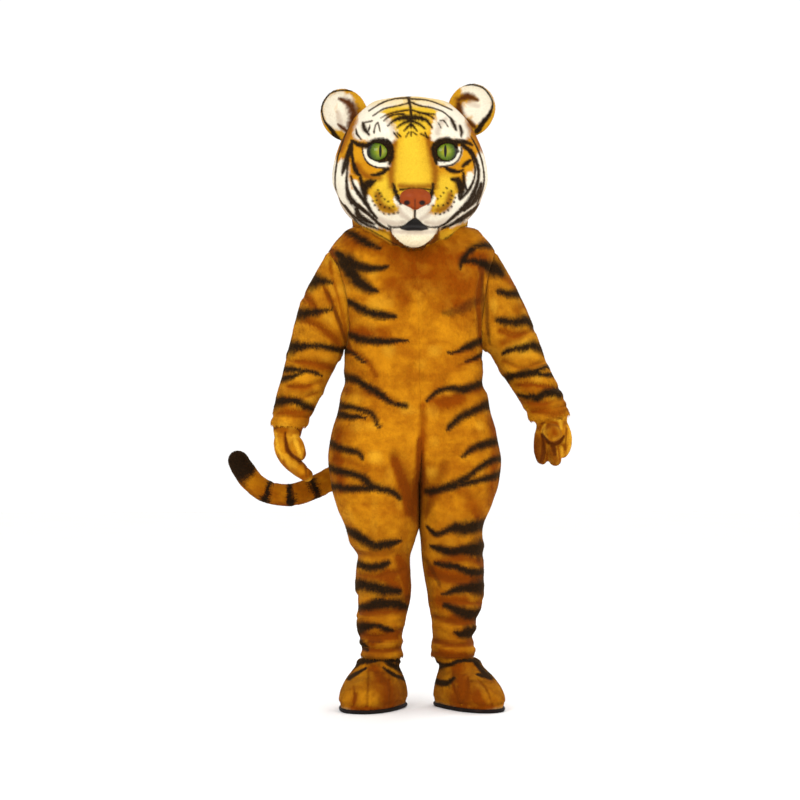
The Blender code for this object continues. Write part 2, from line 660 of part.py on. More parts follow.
def face_push(x, z):
    """How far the face stands forward of the plain skull at a place on it."""
    push = 0.0
    for mound in MOUNDS:
        dx = (x - mound["x"]) / mound["wide"]
        dz = (z - mound["z"]) / mound["tall"]
        push += mound["push"] * math.exp(-0.5 * (dx * dx + dz * dz))
    return push


def head_point(height, azimuth, inset=0.0):
    """A point of the head's outer surface, moved in by inset; azimuth 0 is the front."""
    row = smooth(HEAD, "height", height)
    lean = max(height, 0.0) / HEAD_TOP
    inward = inset * math.sqrt(max(1 - lean * lean, 0.0))
    front = math.cos(azimuth) > 0
    x = math.sin(azimuth) * (row["wide"] - inward)
    y = -math.cos(azimuth) * (row["front" if front else "back"] - inward)
    if front:
        fade = min(math.cos(azimuth) / 0.45, 1.0)
        y -= face_push(x, height) * fade * fade * (3 - 2 * fade)
    return HEAD_CENTRE + Vector((x, y, height - inset * lean))


def head_azimuths():
    """Azimuths of the head's columns: close together over the face, wider round the back."""
    front = [math.radians(FACE_REACH * k / FACE_STEPS) for k in range(-FACE_STEPS, FACE_STEPS + 1)]
    rear = 2 * math.pi - 2 * front[-1]
    return front + [front[-1] + rear * k / REAR_STEPS for k in range(1, REAR_STEPS)]


def ease(share):
    """A share held between 0 and 1 and rounded off at both ends."""
    u = min(max(share, 0.0), 1.0)
    return u * u * (3 - 2 * u)


def rim_height(azimuth):
    """Height of the head's lower rim: a little lower under the cheeks, lowest under the chin."""
    turn = math.degrees(math.acos(math.cos(azimuth)))
    jaw = ease((JAW_REACH - turn) / 24.0)
    chin = ease((CHIN_REACH - turn) / 15.0)
    return RIM_SIDE + (RIM_JAW - RIM_SIDE) * jaw + (RIM_CHIN - RIM_JAW) * chin


def head_rings(inset):
    """Rings of the head from the crown to the rim."""
    above = [0.214, 0.204, 0.186, 0.160, 0.128, 0.094, 0.060, 0.030, 0.000, -0.030, -0.058, -0.084, -0.108]
    rings = []
    angles = head_azimuths()
    for height in above:
        rings.append([head_point(height, a, inset) for a in angles])
    for share in (0.20, 0.40, 0.60, 0.80, 1.0):
        rings.append([head_point(above[-1] + (rim_height(a) - above[-1]) * share, a, inset) for a in angles])
    return rings


def head_wall():
    """The head's shell: outer and inner bowls joined round the lower rim."""
    mesh = bmesh.new()
    layers = []
    count = len(head_azimuths())
    for inset in (0.0, FOAM):
        rings = [[mesh.verts.new(p) for p in ring] for ring in head_rings(inset)]
        crown = mesh.verts.new(HEAD_CENTRE + Vector((0, 0, HEAD_TOP - inset)))
        layers.append(rings)
        for j in range(count):
            mesh.faces.new([crown, rings[0][j], rings[0][(j + 1) % count]])
        for ring, lower in zip(rings, rings[1:]):
            for j in range(count):
                k = (j + 1) % count
                mesh.faces.new([ring[j], lower[j], lower[k], ring[k]])
    for j in range(count):
        k = (j + 1) % count
        mesh.faces.new([layers[0][-1][j], layers[0][-1][k], layers[1][-1][k], layers[1][-1][j]])
    return mesh


def mouth_outline(grow=0.0):
    """The mouth's outline about the head's middle, made larger all round by grow."""
    half = [(row["x"], row["z"]) for row in MOUTH]
    points = half + [(-x, z) for x, z in reversed(half)]
    middle_z = sum(z for x, z in points) / len(points)
    outline = []
    for x, z in points:
        length = math.hypot(x, z - middle_z)
        scale = 1 + grow / length
        outline.append((x * scale, middle_z + (z - middle_z) * scale))
    return outline


def mouth_prism(grow, front, back):
    """A prism through the face at the mouth, between two depths; a depth may be a function."""
    outline = mouth_outline(grow)
    stack = []
    for depth in (front, back):
        ring = []
        for x, z in outline:
            y = depth(x, z) if callable(depth) else depth
            ring.append(HEAD_CENTRE + Vector((x, y, z)))
        stack.append(ring)
    return tube_solid(stack)


def face_depth(x, z, inset=0.0):
    """Y of the face at a place, about the head's middle."""
    row = smooth(HEAD, "height", z)
    share = min(abs(x) / (row["wide"] - inset), 0.999)
    return -(row["front"] - inset) * math.sqrt(1 - share * share) - face_push(x, z)


def blob(middle, sizes, sides=14, levels=7, power=1.0):
    """A closed rounded solid with three half sizes."""
    stack = []
    for i in range(levels + 1):
        tilt = math.pi * (i + 0.35) / (levels + 0.7)
        ring = []
        for k in range(sides):
            a = 2 * math.pi * k / sides
            x = math.copysign(abs(math.cos(a)) ** power, math.cos(a)) * math.sin(tilt) ** power
            z = math.copysign(abs(math.sin(a)) ** power, math.sin(a)) * math.sin(tilt) ** power
            ring.append(middle + Vector((x * sizes[0], -math.cos(tilt) * sizes[1], z * sizes[2])))
        stack.append(ring)
    return tube_solid(stack)


def ear_stack(name):
    """Rings of a cupped ear: from the middle of its hollow out over the rim to its back."""
    ear = EARS[name]
    roll = math.radians(ear["roll"])
    middle = HEAD_CENTRE + Vector((ear["x"], 0.028, ear["z"]))
    stack = []
    hollow = [(0.22, 0.10), (0.50, 0.22), (0.76, 0.52), (0.92, 0.86), (0.985, 1.0)]
    shell = [
        (1.0, 0.80, 0.35), (0.97, 0.40, 0.8), (0.84, -0.05, 1.0), (0.58, -0.35, 1.0), (0.24, -0.50, 1.0),
    ]
    for share, forward in hollow:
        stack.append((share, -forward * EAR_CUP + EAR_CUP * 0.15))
    for share, forward, thick in shell:
        stack.append((share, -forward * EAR_CUP + EAR_CUP * 0.15 + EAR_THICK * thick))
    rings = []
    for share, y in stack:
        ring = []
        for k in range(16):
            a = 2 * math.pi * k / 16
            x = math.sin(a) * ear["wide"] * share
            z = math.cos(a) * ear["tall"] * share * (1.0 if math.cos(a) > 0 else 1.10)
            ring.append(middle + Vector((x * math.cos(roll) - z * math.sin(roll), y,
                                         x * math.sin(roll) + z * math.cos(roll))))
        rings.append(ring)
    return rings


def add_head():
    """Shell, ears, eyes, nose and the mouth's see-through panel."""
    shell = add_piece("head_shell", head_wall(), "face")
    opening = add_piece("mouth_cut", mouth_prism(0.0, -0.40, -0.08), "face", cutter=True)
    add_boolean(shell, opening)
    front, back = (lambda x, z: face_depth(x, z) + 0.004), (lambda x, z: face_depth(x, z) + 0.0065)
    add_piece("mouth_mesh", mouth_prism(-SEAM_GAP * 1.5, front, back), "black")
    full = add_piece("trim_head", tube_solid(head_rings(-SEAM_GAP)), "face", cutter=True)
    for name in SIDES:
        ear = add_piece(f"ear_{name}", tube_solid(ear_stack(name)), "cream")
        add_boolean(ear, full)
        eye_x = EYE_X[name]
        seat = HEAD_CENTRE + Vector((eye_x, face_depth(eye_x, EYE_Z) + 0.010, EYE_Z))
        eye = add_piece(f"eye_{name}", blob(seat, (0.037, 0.027, 0.033)), "eye")
        add_boolean(eye, full)
    seat = HEAD_CENTRE + Vector((NOSE_X, face_depth(NOSE_X, NOSE_Z) + 0.008, NOSE_Z))
    nose = add_piece("nose", blob(seat, (0.046, 0.025, 0.031), power=0.8), "nose")
    add_boolean(nose, full)


def add_neck_skirt(cutters):
    """Plush drape from the head's rim down onto the suit, trimmed to the suit's surface."""
    stacks = []
    for inset in (0.0015, 0.0065):
        rings = []
        for share in (0.0, 0.45, 1.0):
            ring = []
            for a in head_azimuths():
                rim = head_point(rim_height(a), a, inset)
                front = max(math.cos(a), 0.0) ** 2
                low = DRAPE_SIDE + (DRAPE_FRONT - DRAPE_SIDE) * ease(front)
                fall = (low - rim_height(a)) * share - 0.0015 * (1 - share)
                flat = Vector((rim.x - HEAD_CENTRE.x, rim.y - HEAD_CENTRE.y, 0))
                pull = flat.normalized() * share * (-0.008 - 0.062 * front)
                ring.append(Vector((rim.x + pull.x, rim.y + pull.y, rim.z + fall)))
            rings.append(ring)
        stacks.append(rings)
    skirt = add_piece("neck_skirt", tube_solid(stacks[0], stacks[1]), "plush")
    for cutter in cutters:
        add_boolean(skirt, cutter)


def add_tail(cutters):
    """Stuffed tail along its middle line, its root trimmed to the back."""
    points = [Vector((row["x"], row["y"], row["height"] - SHOULDER_HEIGHT)) for row in TAIL]
    stack = []
    sides = 12
    for number, point in enumerate(points):
        before = points[max(number - 1, 0)]
        after = points[min(number + 1, len(points) - 1)]
        along = (after - before).normalized()
        up = Vector((0, 0, 1)) - along * along.z
        up.normalize()
        aside = along.cross(up)
        radius = TAIL_RADIUS * (1.12 - 0.02 * number)
        stack.append([point + (up * math.cos(a) + aside * math.sin(a)) * radius
                      for a in (2 * math.pi * k / sides for k in range(sides))])
    along = (points[-1] - points[-2]).normalized()
    last = [p.copy() for p in stack[-1]]
    for narrow, reach in ((0.86, 0.45), (0.55, 0.80), (0.2, 0.98)):
        middle = points[-1] + along * TAIL_RADIUS * 0.92 * reach
        stack.append([middle + (p - points[-1]) * narrow for p in last])
    tail = add_piece("tail", tube_solid(stack), "plush")
    for cutter in cutters:
        if "back" in cutter.name:
            add_boolean(tail, cutter)


def back_surface(height, x):
    """Y of the back panels beside the centre seam, along the flat facets between their points."""
    lean = smooth(SUIT, "height", height)["lean"]
    name = "left" if x > 0 else "right"
    points = [suit_point(name, height, 1 - p) for p in PANEL_PLACES]
    reach = [abs(point.x - lean) for point in points]
    k = 0
    while reach[k + 1] < abs(x):
        k += 1
    share = max((abs(x) - reach[k]) / (reach[k + 1] - reach[k]), 0.0)
    return lean + x, points[k].y * (1 - share) + points[k + 1].y * share


def add_zip():
    """Back zip: two tape edges as one strip, a slider, and the pull on its crossbar."""
    across = [-0.5, -0.24, 0.24, 0.5]
    stack = []
    for height in suit_heights():
        if not ZIP_BOTTOM <= height <= ZIP_TOP:
            continue
        ring = []
        for out, shares in ((TAPE_GAP + TAPE_THICK, across), (TAPE_GAP, across[::-1])):
            for share in shares:
                x, y = back_surface(height, share * TAPE_WIDTH)
                ring.append(Vector((x, y + out, height - SHOULDER_HEIGHT)))
        stack.append(ring)
    add_piece("zip_tape", tube_solid(stack), "tape")

    seat_x, seat_y = back_surface(SLIDER_HEIGHT, 0.0)
    seat = Vector((seat_x, seat_y + TAPE_GAP + TAPE_THICK + SLIDER_GAP, SLIDER_HEIGHT - SHOULDER_HEIGHT))
    low_y = back_surface(SLIDER_HEIGHT - PULL_LENGTH, 0.0)[1]
    down = Vector((0.0, low_y - seat_y, -PULL_LENGTH)).normalized()
    frame = Matrix((Vector((1, 0, 0)), Vector((1, 0, 0)).cross(down), -down)).transposed().to_4x4()
    frame.translation = seat
    half = SLIDER_WIDTH / 2
    slider = box_mesh((-half, 0, -SLIDER_TALL / 2), (half, SLIDER_THICK, SLIDER_TALL / 2))
    slider = add_piece("zip_slider", slider, "metal")
    slider.matrix_world = frame
    bar_y = SLIDER_THICK + BAR_RISE
    for side in SIDES.values():
        near, far = sorted((side * LUG_INNER, side * half))
        lug = box_mesh((near, SLIDER_THICK / 2, -LUG_TALL / 2), (far, bar_y + 0.0014, LUG_TALL / 2))
        add_boolean(slider, place(add_piece(f"lug_{side:+.0f}", lug, "metal", cutter=True), frame), "UNION")
    bar = cylinder_mesh(BAR_RADIUS, -half + 0.0005, half - 0.0005)
    bar = place(add_piece("crossbar", bar, "metal", cutter=True), frame @ Matrix.Translation((0, bar_y, 0)))
    add_boolean(slider, bar, "UNION")

    hinge = frame @ Matrix.Translation((0, bar_y, 0))
    eye_half = LUG_INNER - 0.0004
    pull = add_piece("zip_pull", cylinder_mesh(EYE_RADIUS, -eye_half, eye_half), "metal")
    pull.matrix_world = hinge
    low, high = (-eye_half, -PULL_THICK / 2, -PULL_LENGTH), (eye_half, PULL_THICK / 2, -EYE_RADIUS * 0.8)
    plate = box_mesh(low, high)
    plate = place(add_piece("pull_plate", plate, "metal", cutter=True), hinge)
    add_boolean(pull, plate, "UNION", "MANIFOLD")
    hole = cylinder_mesh(BAR_RADIUS + BAR_CLEARANCE, -half, half)
    hole = place(add_piece("pull_hole", hole, "metal", cutter=True), hinge)
    add_boolean(pull, hole, solver="MANIFOLD")


def place(piece, matrix):
    """The piece, moved to a place."""
    piece.matrix_world = matrix
    return piece


def cylinder_mesh(radius, low, high, sides=12):
    """A closed cylinder along X."""
    stack = []
    for x in (low, high):
        angles = (2 * math.pi * k / sides for k in range(sides))
        stack.append([Vector((x, radius * math.cos(a), radius * math.sin(a))) for a in angles])
    return tube_solid(stack)


def box_mesh(low, high):
    """A box between two corners."""
    mesh = bmesh.new()
    bmesh.ops.create_cube(mesh, size=1.0)
    for vert in mesh.verts:
        vert.co = Vector([low[k] + (vert.co[k] + 0.5) * (high[k] - low[k]) for k in range(3)])
    return mesh


def main():
    for old in list(bpy.data.objects):
        bpy.data.objects.remove(old, do_unlink=True)
    add_suit_panels()
    add_sleeves()
    add_gloves()
    add_feet()
    add_head()
    cutters = suit_cutters()
    add_neck_skirt(cutters)
    add_tail(cutters)
    add_zip()


main()
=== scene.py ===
import math
import bmesh
import bpy
import numpy as np
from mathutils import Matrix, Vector
from mathutils.bvhtree import BVHTree


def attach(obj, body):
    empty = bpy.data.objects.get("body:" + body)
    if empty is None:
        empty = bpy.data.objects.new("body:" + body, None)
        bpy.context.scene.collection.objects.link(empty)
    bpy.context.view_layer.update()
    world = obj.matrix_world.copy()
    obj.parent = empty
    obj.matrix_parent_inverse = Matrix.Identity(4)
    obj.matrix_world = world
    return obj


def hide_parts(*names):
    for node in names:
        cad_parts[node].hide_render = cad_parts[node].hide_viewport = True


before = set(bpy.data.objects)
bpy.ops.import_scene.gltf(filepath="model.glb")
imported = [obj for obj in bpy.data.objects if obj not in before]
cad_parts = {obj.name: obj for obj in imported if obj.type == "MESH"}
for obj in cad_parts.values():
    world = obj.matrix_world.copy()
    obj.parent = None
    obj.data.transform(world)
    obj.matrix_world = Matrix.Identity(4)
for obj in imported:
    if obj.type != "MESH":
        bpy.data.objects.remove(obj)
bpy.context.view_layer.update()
shoulder = 1.382                 # shoulder line above the soles' underside
sides = {"right": -1.0, "left": 1.0}

# Camera: a long lens from the front, turned a little to the costume's right
shot = {"lens": 120.0, "distance": 8.0, "azimuth": -4.0, "target": (-0.048, 0.0, -0.464)}
turn = math.radians(shot["azimuth"])
target = np.array(shot["target"])
acrossAxis = np.array([math.cos(turn), math.sin(turn), 0.0])
towardsCamera = np.array([math.sin(turn), -math.cos(turn), 0.0])
planStep = 0.003                 # metres to one step of the front plan that the paint is placed on
planMiddle = 400                 # the plan's column and row at the camera's target
bodyColumn = 416.0               # the plan's column down the body's middle
faceColumn = 415                 # and down the face's middle
legRow = 520                     # the plan's row where the legs part


def makeCamera():
    data = bpy.data.cameras.new("frontCamera")
    data.lens, data.sensor_width = shot["lens"], 36.0
    camera = bpy.data.objects.new("frontCamera", data)
    camera.location = Vector(target + towardsCamera * shot["distance"])
    camera.rotation_euler = (math.radians(90), 0, turn)
    bpy.context.scene.collection.objects.link(camera)
    bpy.context.scene.camera = camera


makeCamera()
print("camera ready")


# Numbers, curves and soft noise
def table(names, text):          # rows of numbers as named columns
    rows = np.array([[float(v) for v in line.split()] for line in text.strip().splitlines()])
    return dict(zip(names.split(), rows.T))


def cubic(u, a, b, start, end, span=1.0):  # a curve from a to b, with these slopes at its ends
    return ((2 * u**3 - 3 * u**2 + 1) * a + (u**3 - 2 * u**2 + u) * span * start
            + (3 * u**2 - 2 * u**3) * b + (u**3 - u**2) * span * end)


def readAt(rows, key, value):    # every column read off at values of the key column, smoothly
    order = np.argsort(rows[key])
    keys = rows[key][order]
    value = np.clip(np.asarray(value, float), keys[0], keys[-1])
    low = np.clip(np.searchsorted(keys, value, side="left") - 1, 0, len(keys) - 2)
    before, after = np.maximum(low - 1, 0), np.minimum(low + 2, len(keys) - 1)
    span = keys[low + 1] - keys[low]
    u = (value - keys[low]) / span
    read = {}
    for name, column in rows.items():
        c = column[order]
        startSlope = (c[low + 1] - c[before]) / (keys[low + 1] - keys[before])
        endSlope = (c[after] - c[low]) / (keys[after] - keys[low])
        read[name] = cubic(u, c[low], c[low + 1], startSlope, endSlope, span)
    return read


def soften(x):                   # 0 to 1 with soft ends
    x = np.clip(x, 0.0, 1.0)
    return x * x * (3 - 2 * x)


def unit(v):                     # vectors made one long
    return v / np.maximum(np.linalg.norm(v, axis=-1, keepdims=True), 1e-12)


def lumps(points, size, seed=0):  # smooth random field from -1 to 1, in lumps of about this size
    p = points / size + 31.7 * seed
    cell = np.floor(p).astype(np.int64)
    f = soften(p - cell)
    total = np.zeros(points.shape[:-1])
    for corner in np.ndindex(2, 2, 2):
        spot = cell + np.array(corner)
        code = (spot[..., 0] * 73856093) ^ (spot[..., 1] * 19349663) ^ (spot[..., 2] * 83492791)
        code = code ^ (seed * 7919)
        code = (code ^ (code >> 13)) * 1274126177
        value = ((code >> 7) & 0xFFFF) / 32767.5 - 1.0
        share = np.prod(np.where(np.array(corner) == 1, f, 1 - f), axis=-1)
        total += value * share
    return total


def lumpy(points, layers):       # lump fields added up, each a strength, a size and a seed
    return sum(strength * lumps(points, size, seed) for strength, size, seed in layers)


def throughPoints(stations, count):  # stations on axis 0, joined by a smooth curve, count spaces in all
    stations = np.asarray(stations, float)
    at = np.linspace(0, len(stations) - 1, count + 1)
    low = np.minimum(at.astype(int), len(stations) - 2)
    u = (at - low).reshape((-1,) + (1,) * (stations.ndim - 1))
    a, b = stations[low], stations[low + 1]
    start = (b - stations[np.maximum(low - 1, 0)]) / np.where(low > 0, 2, 1).reshape(u.shape)
    end = stations[np.minimum(low + 2, len(stations) - 1)] - a
    end = end / np.where(low + 2 < len(stations), 2, 1).reshape(u.shape)
    return cubic(u, a, b, start, end)


def evenWalk(steps, values, count):  # count values an equal walk apart; steps are the walks between them
    walked = np.concatenate([[0], np.cumsum(steps)])
    return np.interp(np.linspace(0, walked[-1], count), walked, values)


def ringAngles(count):           # even angles once round
    return 2 * math.pi * np.arange(count) / count


# The front plan: where a place on the costume falls, in steps right and down from a corner
def planOf(points):              # the plan's column and row of each point
    off = points - target
    depth = shot["distance"] - off @ towardsCamera
    across = shot["distance"] * (off @ acrossAxis) / depth
    up = shot["distance"] * off[..., 2] / depth
    return np.stack([planMiddle + across / planStep, planMiddle - up / planStep], axis=-1)


def facesBack(normals):
    return normals @ towardsCamera < 0


def strokes(text, lead=0):
    # each line: lead numbers, then points as across, down, half width; a comma carries it on
    made = []
    for line in text.replace(",\n", " ").strip().splitlines():
        numbers = [float(v) for v in line.split()]
        points = np.array(numbers[lead:]).reshape(-1, 3)
        if len(points) > 2:
            points = throughPoints(points, (len(points) - 1) * 3)
        made.append((numbers[:lead], points))
    return made


def strokeNearness(spots, points):  # 1 on the stroke's middle line, 0 at its edge, less outside
    near = np.full(len(spots), -1.0)
    for a, b in zip(points[:-1], points[1:]):
        way = b[:2] - a[:2]
        t = np.clip((spots - a[:2]) @ way / max(way @ way, 1e-9), 0, 1)
        off = spots - a[:2] - t[:, None] * way
        near = np.maximum(near, 1 - np.hypot(off[:, 0], off[:, 1]) / (a[2] + (b[2] - a[2]) * t))
    return near


def spotsNear(spots, points, reach):  # which spots lie in the box round a stroke
    low, high = points[:, :2].min(axis=0) - reach, points[:, :2].max(axis=0) + reach
    return np.nonzero(((spots > low) & (spots < high)).all(axis=1))[0]


def layStrokes(spots, wanted, edge, wobble=None):
    # how much paint the strokes leave at each spot; a stroke's lead is its share of full cover
    cover = np.zeros(len(spots))
    for lead, points in wanted:
        some = spotsNear(spots, points, points[:, 2].max() * 1.5 + 1)
        if len(some):
            near = strokeNearness(spots[some], points)
            if wobble is not None:
                near = near + wobble[some]
            share = lead[0] if lead else 1.0
            cover[some] = np.maximum(cover[some], share * soften((near + edge * 0.5) / edge))
    return cover


def layFolds(spots, wanted):     # sum of the folds' rises at each spot, in metres
    rise = np.zeros(len(spots))
    for (height,), points in wanted:
        some = spotsNear(spots, points, points[:, 2].max() * 3)
        if len(some):
            away = 1 - strokeNearness(spots[some], points)
            rise[some] += height * 0.001 * np.exp(-away * away)
    return rise


def roundTheBack(wanted, seed, droop=5.0):  # the same strokes carried on behind, lengths and fall uneven
    rng = np.random.default_rng(seed)
    made = []
    for lead, points in wanted:
        middle = bodyColumn if points[:, 1].mean() < legRow else points[:, 0].mean()
        if abs(points[-1, 0] - middle) > abs(points[0, 0] - middle):
            points = points[::-1]
        share = np.linspace(0, 1, len(points))
        moved = points.copy()
        moved[:, 0] = points[0, 0] + (points[:, 0] - points[0, 0]) * rng.uniform(0.8, 1.35)
        moved[:, 1] += share**1.3 * rng.uniform(-droop, droop * 1.6)
        moved[:, 2] *= rng.uniform(0.85, 1.2)
        made.append((lead, moved))
    return made


# Meshes
def addObject(name, mesh, material, body="suit"):
    piece = bpy.data.objects.new(name, mesh)
    bpy.context.scene.collection.objects.link(piece)
    if material:
        mesh.materials.clear()
        mesh.materials.append(material)
    if body:
        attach(piece, body)
    return piece


def meshFrom(name, verts, faces, smooth=True):
    mesh = bpy.data.meshes.new(name)
    mesh.from_pydata(np.asarray(verts).tolist(), [], faces)
    work = bmesh.new()
    work.from_mesh(mesh)
    bmesh.ops.recalc_face_normals(work, faces=work.faces[:])
    work.to_mesh(mesh)
    work.free()
    if smooth:
        mesh.shade_smooth()
    return mesh


maskNames = ("stripe", "rust", "gold", "cream", "tip")


def writeMasks(mesh, masks):     # paint masks as point attributes; points past a mask's end get 0
    for name in maskNames:
        values = np.zeros(len(mesh.vertices), np.float32)
        if name in masks:
            values[:len(masks[name])] = masks[name]
        mesh.attributes.new(name, "FLOAT", "POINT").data.foreach_set("value", values)


def gridNormals(grid, wrap):     # outward normals of a grid of points, rows down and columns round
    if wrap:
        along = np.roll(grid, -1, axis=1) - np.roll(grid, 1, axis=1)
    else:
        along = np.gradient(grid, axis=1)
    down = np.gradient(grid, axis=0)
    return unit(np.cross(along, down))


def outwardNormals(grid, middle):  # of a grid that closes round, turned away from its middle
    normals = gridNormals(grid, True)
    return normals * (np.sign(((grid - middle) * normals).sum(axis=-1).mean()) or 1.0)


def gridQuads(rows, columns, wrap, start=0, flip=False):
    last = columns if wrap else columns - 1
    i, j = np.meshgrid(np.arange(rows - 1) * columns, np.arange(last), indexing="ij")
    k = (j + 1) % columns
    quads = np.stack([i + j, i + columns + j, i + columns + k, i + k], axis=-1)
    quads = quads.reshape(-1, 4) + start
    return quads[:, ::-1] if flip else quads


def wallMesh(name, outer, inner, step, wrap, masks):
    # a closed cloth wall: a fine outer grid, and an inner grid with one point to each step of it
    rows, columns = outer.shape[:2]
    coarse = inner[::step, ::step]
    ir, ic = coarse.shape[:2]
    base = rows * columns
    faces = gridQuads(rows, columns, wrap).tolist() + gridQuads(ir, ic, wrap, base, True).tolist()
    spaces = ic if wrap else ic - 1
    for row, innerRow in ((0, 0), (rows - 1, ir - 1)):
        for j in range(spaces):
            strip = [row * columns + (j * step + s) % columns for s in range(step + 1)]
            faces.append(strip + [base + innerRow * ic + (j + 1) % ic, base + innerRow * ic + j])
    if not wrap:
        for column, innerColumn in ((0, 0), (columns - 1, ic - 1)):
            for i in range(ir - 1):
                strip = [(i * step + s) * columns + column for s in range(step + 1)]
                faces.append(strip + [base + (i + 1) * ic + innerColumn, base + i * ic + innerColumn])
    mesh = meshFrom(name, np.concatenate([outer.reshape(-1, 3), coarse.reshape(-1, 3)]), faces)
    writeMasks(mesh, masks)
    return mesh


def trianglesOf(grid, wrap):
    quads = gridQuads(grid.shape[0], grid.shape[1], wrap)
    return np.concatenate([quads[:, [0, 1, 2]], quads[:, [0, 2, 3]]])


def areaOf(verts, tris):         # each triangle's area
    corners = verts[tris]
    return np.linalg.norm(np.cross(corners[:, 1] - corners[:, 0], corners[:, 2] - corners[:, 0]), axis=1) / 2


def joined(name, parts):         # one mesh of several, which it uses up
    work = bmesh.new()
    for part in parts:
        work.from_mesh(part)
        bpy.data.meshes.remove(part)
    mesh = bpy.data.meshes.new(name)
    work.to_mesh(mesh)
    work.free()
    return mesh


blades = {
    "stray": 0.30,               # how far the nap wanders from its flow, in lumps and from blade to blade
    "jitter": 0.10,
    "sunk": 0.0004,              # roots stand this deep in the cloth
    "skew": 0.3,
    "sparkle": 0.2,              # how far a blade's shading leans from its cloth's
}


def growPile(name, verts, normals, tris, painter, coat, material, flow, seed, keep=None):
    # one leaning blade of pile to each random root; a blade takes the paint of its root
    rng = np.random.default_rng(seed)
    corners, area = verts[tris], areaOf(verts, tris)
    count = min(int(area.sum() * 1e6 / coat["room"]), coat["most"])
    pick = rng.choice(len(tris), count, p=area / area.sum())
    u, v = rng.random(count), rng.random(count)
    u, v = np.where(u + v > 1, 1 - u, u), np.where(u + v > 1, 1 - v, v)
    share = np.stack([1 - u - v, u, v], axis=1)[:, :, None]
    root = (corners[pick] * share).sum(axis=1)
    normal = unit((normals[tris[pick]] * share).sum(axis=1))
    if keep is not None:
        kept = keep(root)
        root, normal = root[kept], normal[kept]
        count = len(root)
    drift = np.stack([lumps(root, 0.045, seed + k) for k in (1, 2, 3)], axis=1)
    nap = flow(root, normal) + blades["stray"] * drift
    nap = nap + rng.normal(0, blades["jitter"], (count, 3))
    nap = unit(nap - normal * (nap * normal).sum(axis=1)[:, None])
    aside = np.cross(normal, nap)
    length = coat["length"] * rng.uniform(0.7, 1.15, count) * (1 + 0.25 * lumps(root, 0.03, seed + 4))
    rise = np.radians(coat["rise"] + 2.5 * lumps(root, 0.05, seed + 5) + rng.normal(0, 2, count))
    tipAt = root + nap * (length * np.cos(rise))[:, None] + normal * (length * np.sin(rise))[:, None]
    tipAt += aside * (rng.normal(0, 0.06, count) * length)[:, None]
    half = (coat["width"] * rng.uniform(0.7, 1.2, count) / 2)[:, None]
    skew = rng.normal(0, blades["skew"], count)[:, None]
    reach = unit(aside + normal * skew)
    sunk = root - normal * blades["sunk"]
    points = np.stack([sunk + reach * half, sunk - reach * half, tipAt], axis=1).reshape(-1, 3)
    mesh = bpy.data.meshes.new(name)
    mesh.vertices.add(count * 3)
    mesh.vertices.foreach_set("co", points.ravel())
    mesh.loops.add(count * 3)
    mesh.loops.foreach_set("vertex_index", np.arange(count * 3))
    mesh.polygons.add(count)
    mesh.polygons.foreach_set("loop_start", np.arange(count) * 3)
    mesh.update(calc_edges=True)
    masks = {key: np.repeat(value, 3) for key, value in painter(root, normal).items()}
    masks["tip"] = np.tile([0.0, 0.0, 1.0], count)
    writeMasks(mesh, masks)
    lean = blades["sparkle"]
    shade = normal + lean * nap * rng.normal(0, 1, (count, 1)) + lean * aside * rng.normal(0, 1, (count, 1))
    mesh.shade_smooth()
    mesh.normals_split_custom_set_from_vertices(np.repeat(unit(shade), 3, axis=0).tolist())
    return addObject(name, mesh, material)


def downwards(root, normal):     # the suit's pile is brushed down
    return np.tile([0.0, 0.0, -1.0], (len(root), 1))


# Materials
def colour(hexCode):             # sRGB hex to Blender's linear colour
    parts = [int(hexCode[k:k + 2], 16) / 255 for k in (1, 3, 5)]
    return [p / 12.92 if p <= 0.04045 else ((p + 0.055) / 1.055) ** 2.4 for p in parts] + [1.0]


def setInputs(tree, node, inputs):
    # each named input gets a link, from a socket or a node's first output, or a hex colour or a value
    for key, value in inputs.items():
        if isinstance(value, bpy.types.Node):
            value = value.outputs[0]
        if isinstance(value, bpy.types.NodeSocket):
            tree.links.new(value, node.inputs[key])
        else:
            node.inputs[key].default_value = colour(value) if isinstance(value, str) else value


def finishSurface(tree, shader, tone, grain=None, strength=0.0, deep=0.0, **inputs):
    # a surface's colour, and its fine relief, this many metres deep
    if grain:
        inputs["Normal"] = addNode(tree, "Bump", {"Height": grain, "Strength": strength, "Distance": deep})
    setInputs(tree, shader, {"Base Color": tone, **inputs})


def addNode(tree, kind, inputs=None, **settings):
    made = tree.nodes.new("ShaderNode" + kind)
    for key, value in settings.items():
        setattr(made, key, value)
    setInputs(tree, made, inputs or {})
    return made


def newMaterial(name, finish):   # a Principled surface, and the place on the object in its own axes
    made = bpy.data.materials.new(name)
    made.use_nodes = True
    tree = made.node_tree
    shader = tree.nodes["Principled BSDF"]
    setInputs(tree, shader, finish)
    return made, tree, shader, addNode(tree, "TexCoord").outputs["Object"]


# Short-pile knitted polyester plush, airbrushed with dye after sewing: matt, with a soft pale
# edge where the pile is seen from the side, and a nap that lies in lighter and darker patches
plushFinish = {"Roughness": 0.95, "Specular IOR Level": 0.06, "IOR": 1.45, "Sheen Weight": 0.10,
               "Sheen Roughness": 0.4, "Sheen Tint": "#FFB860"}


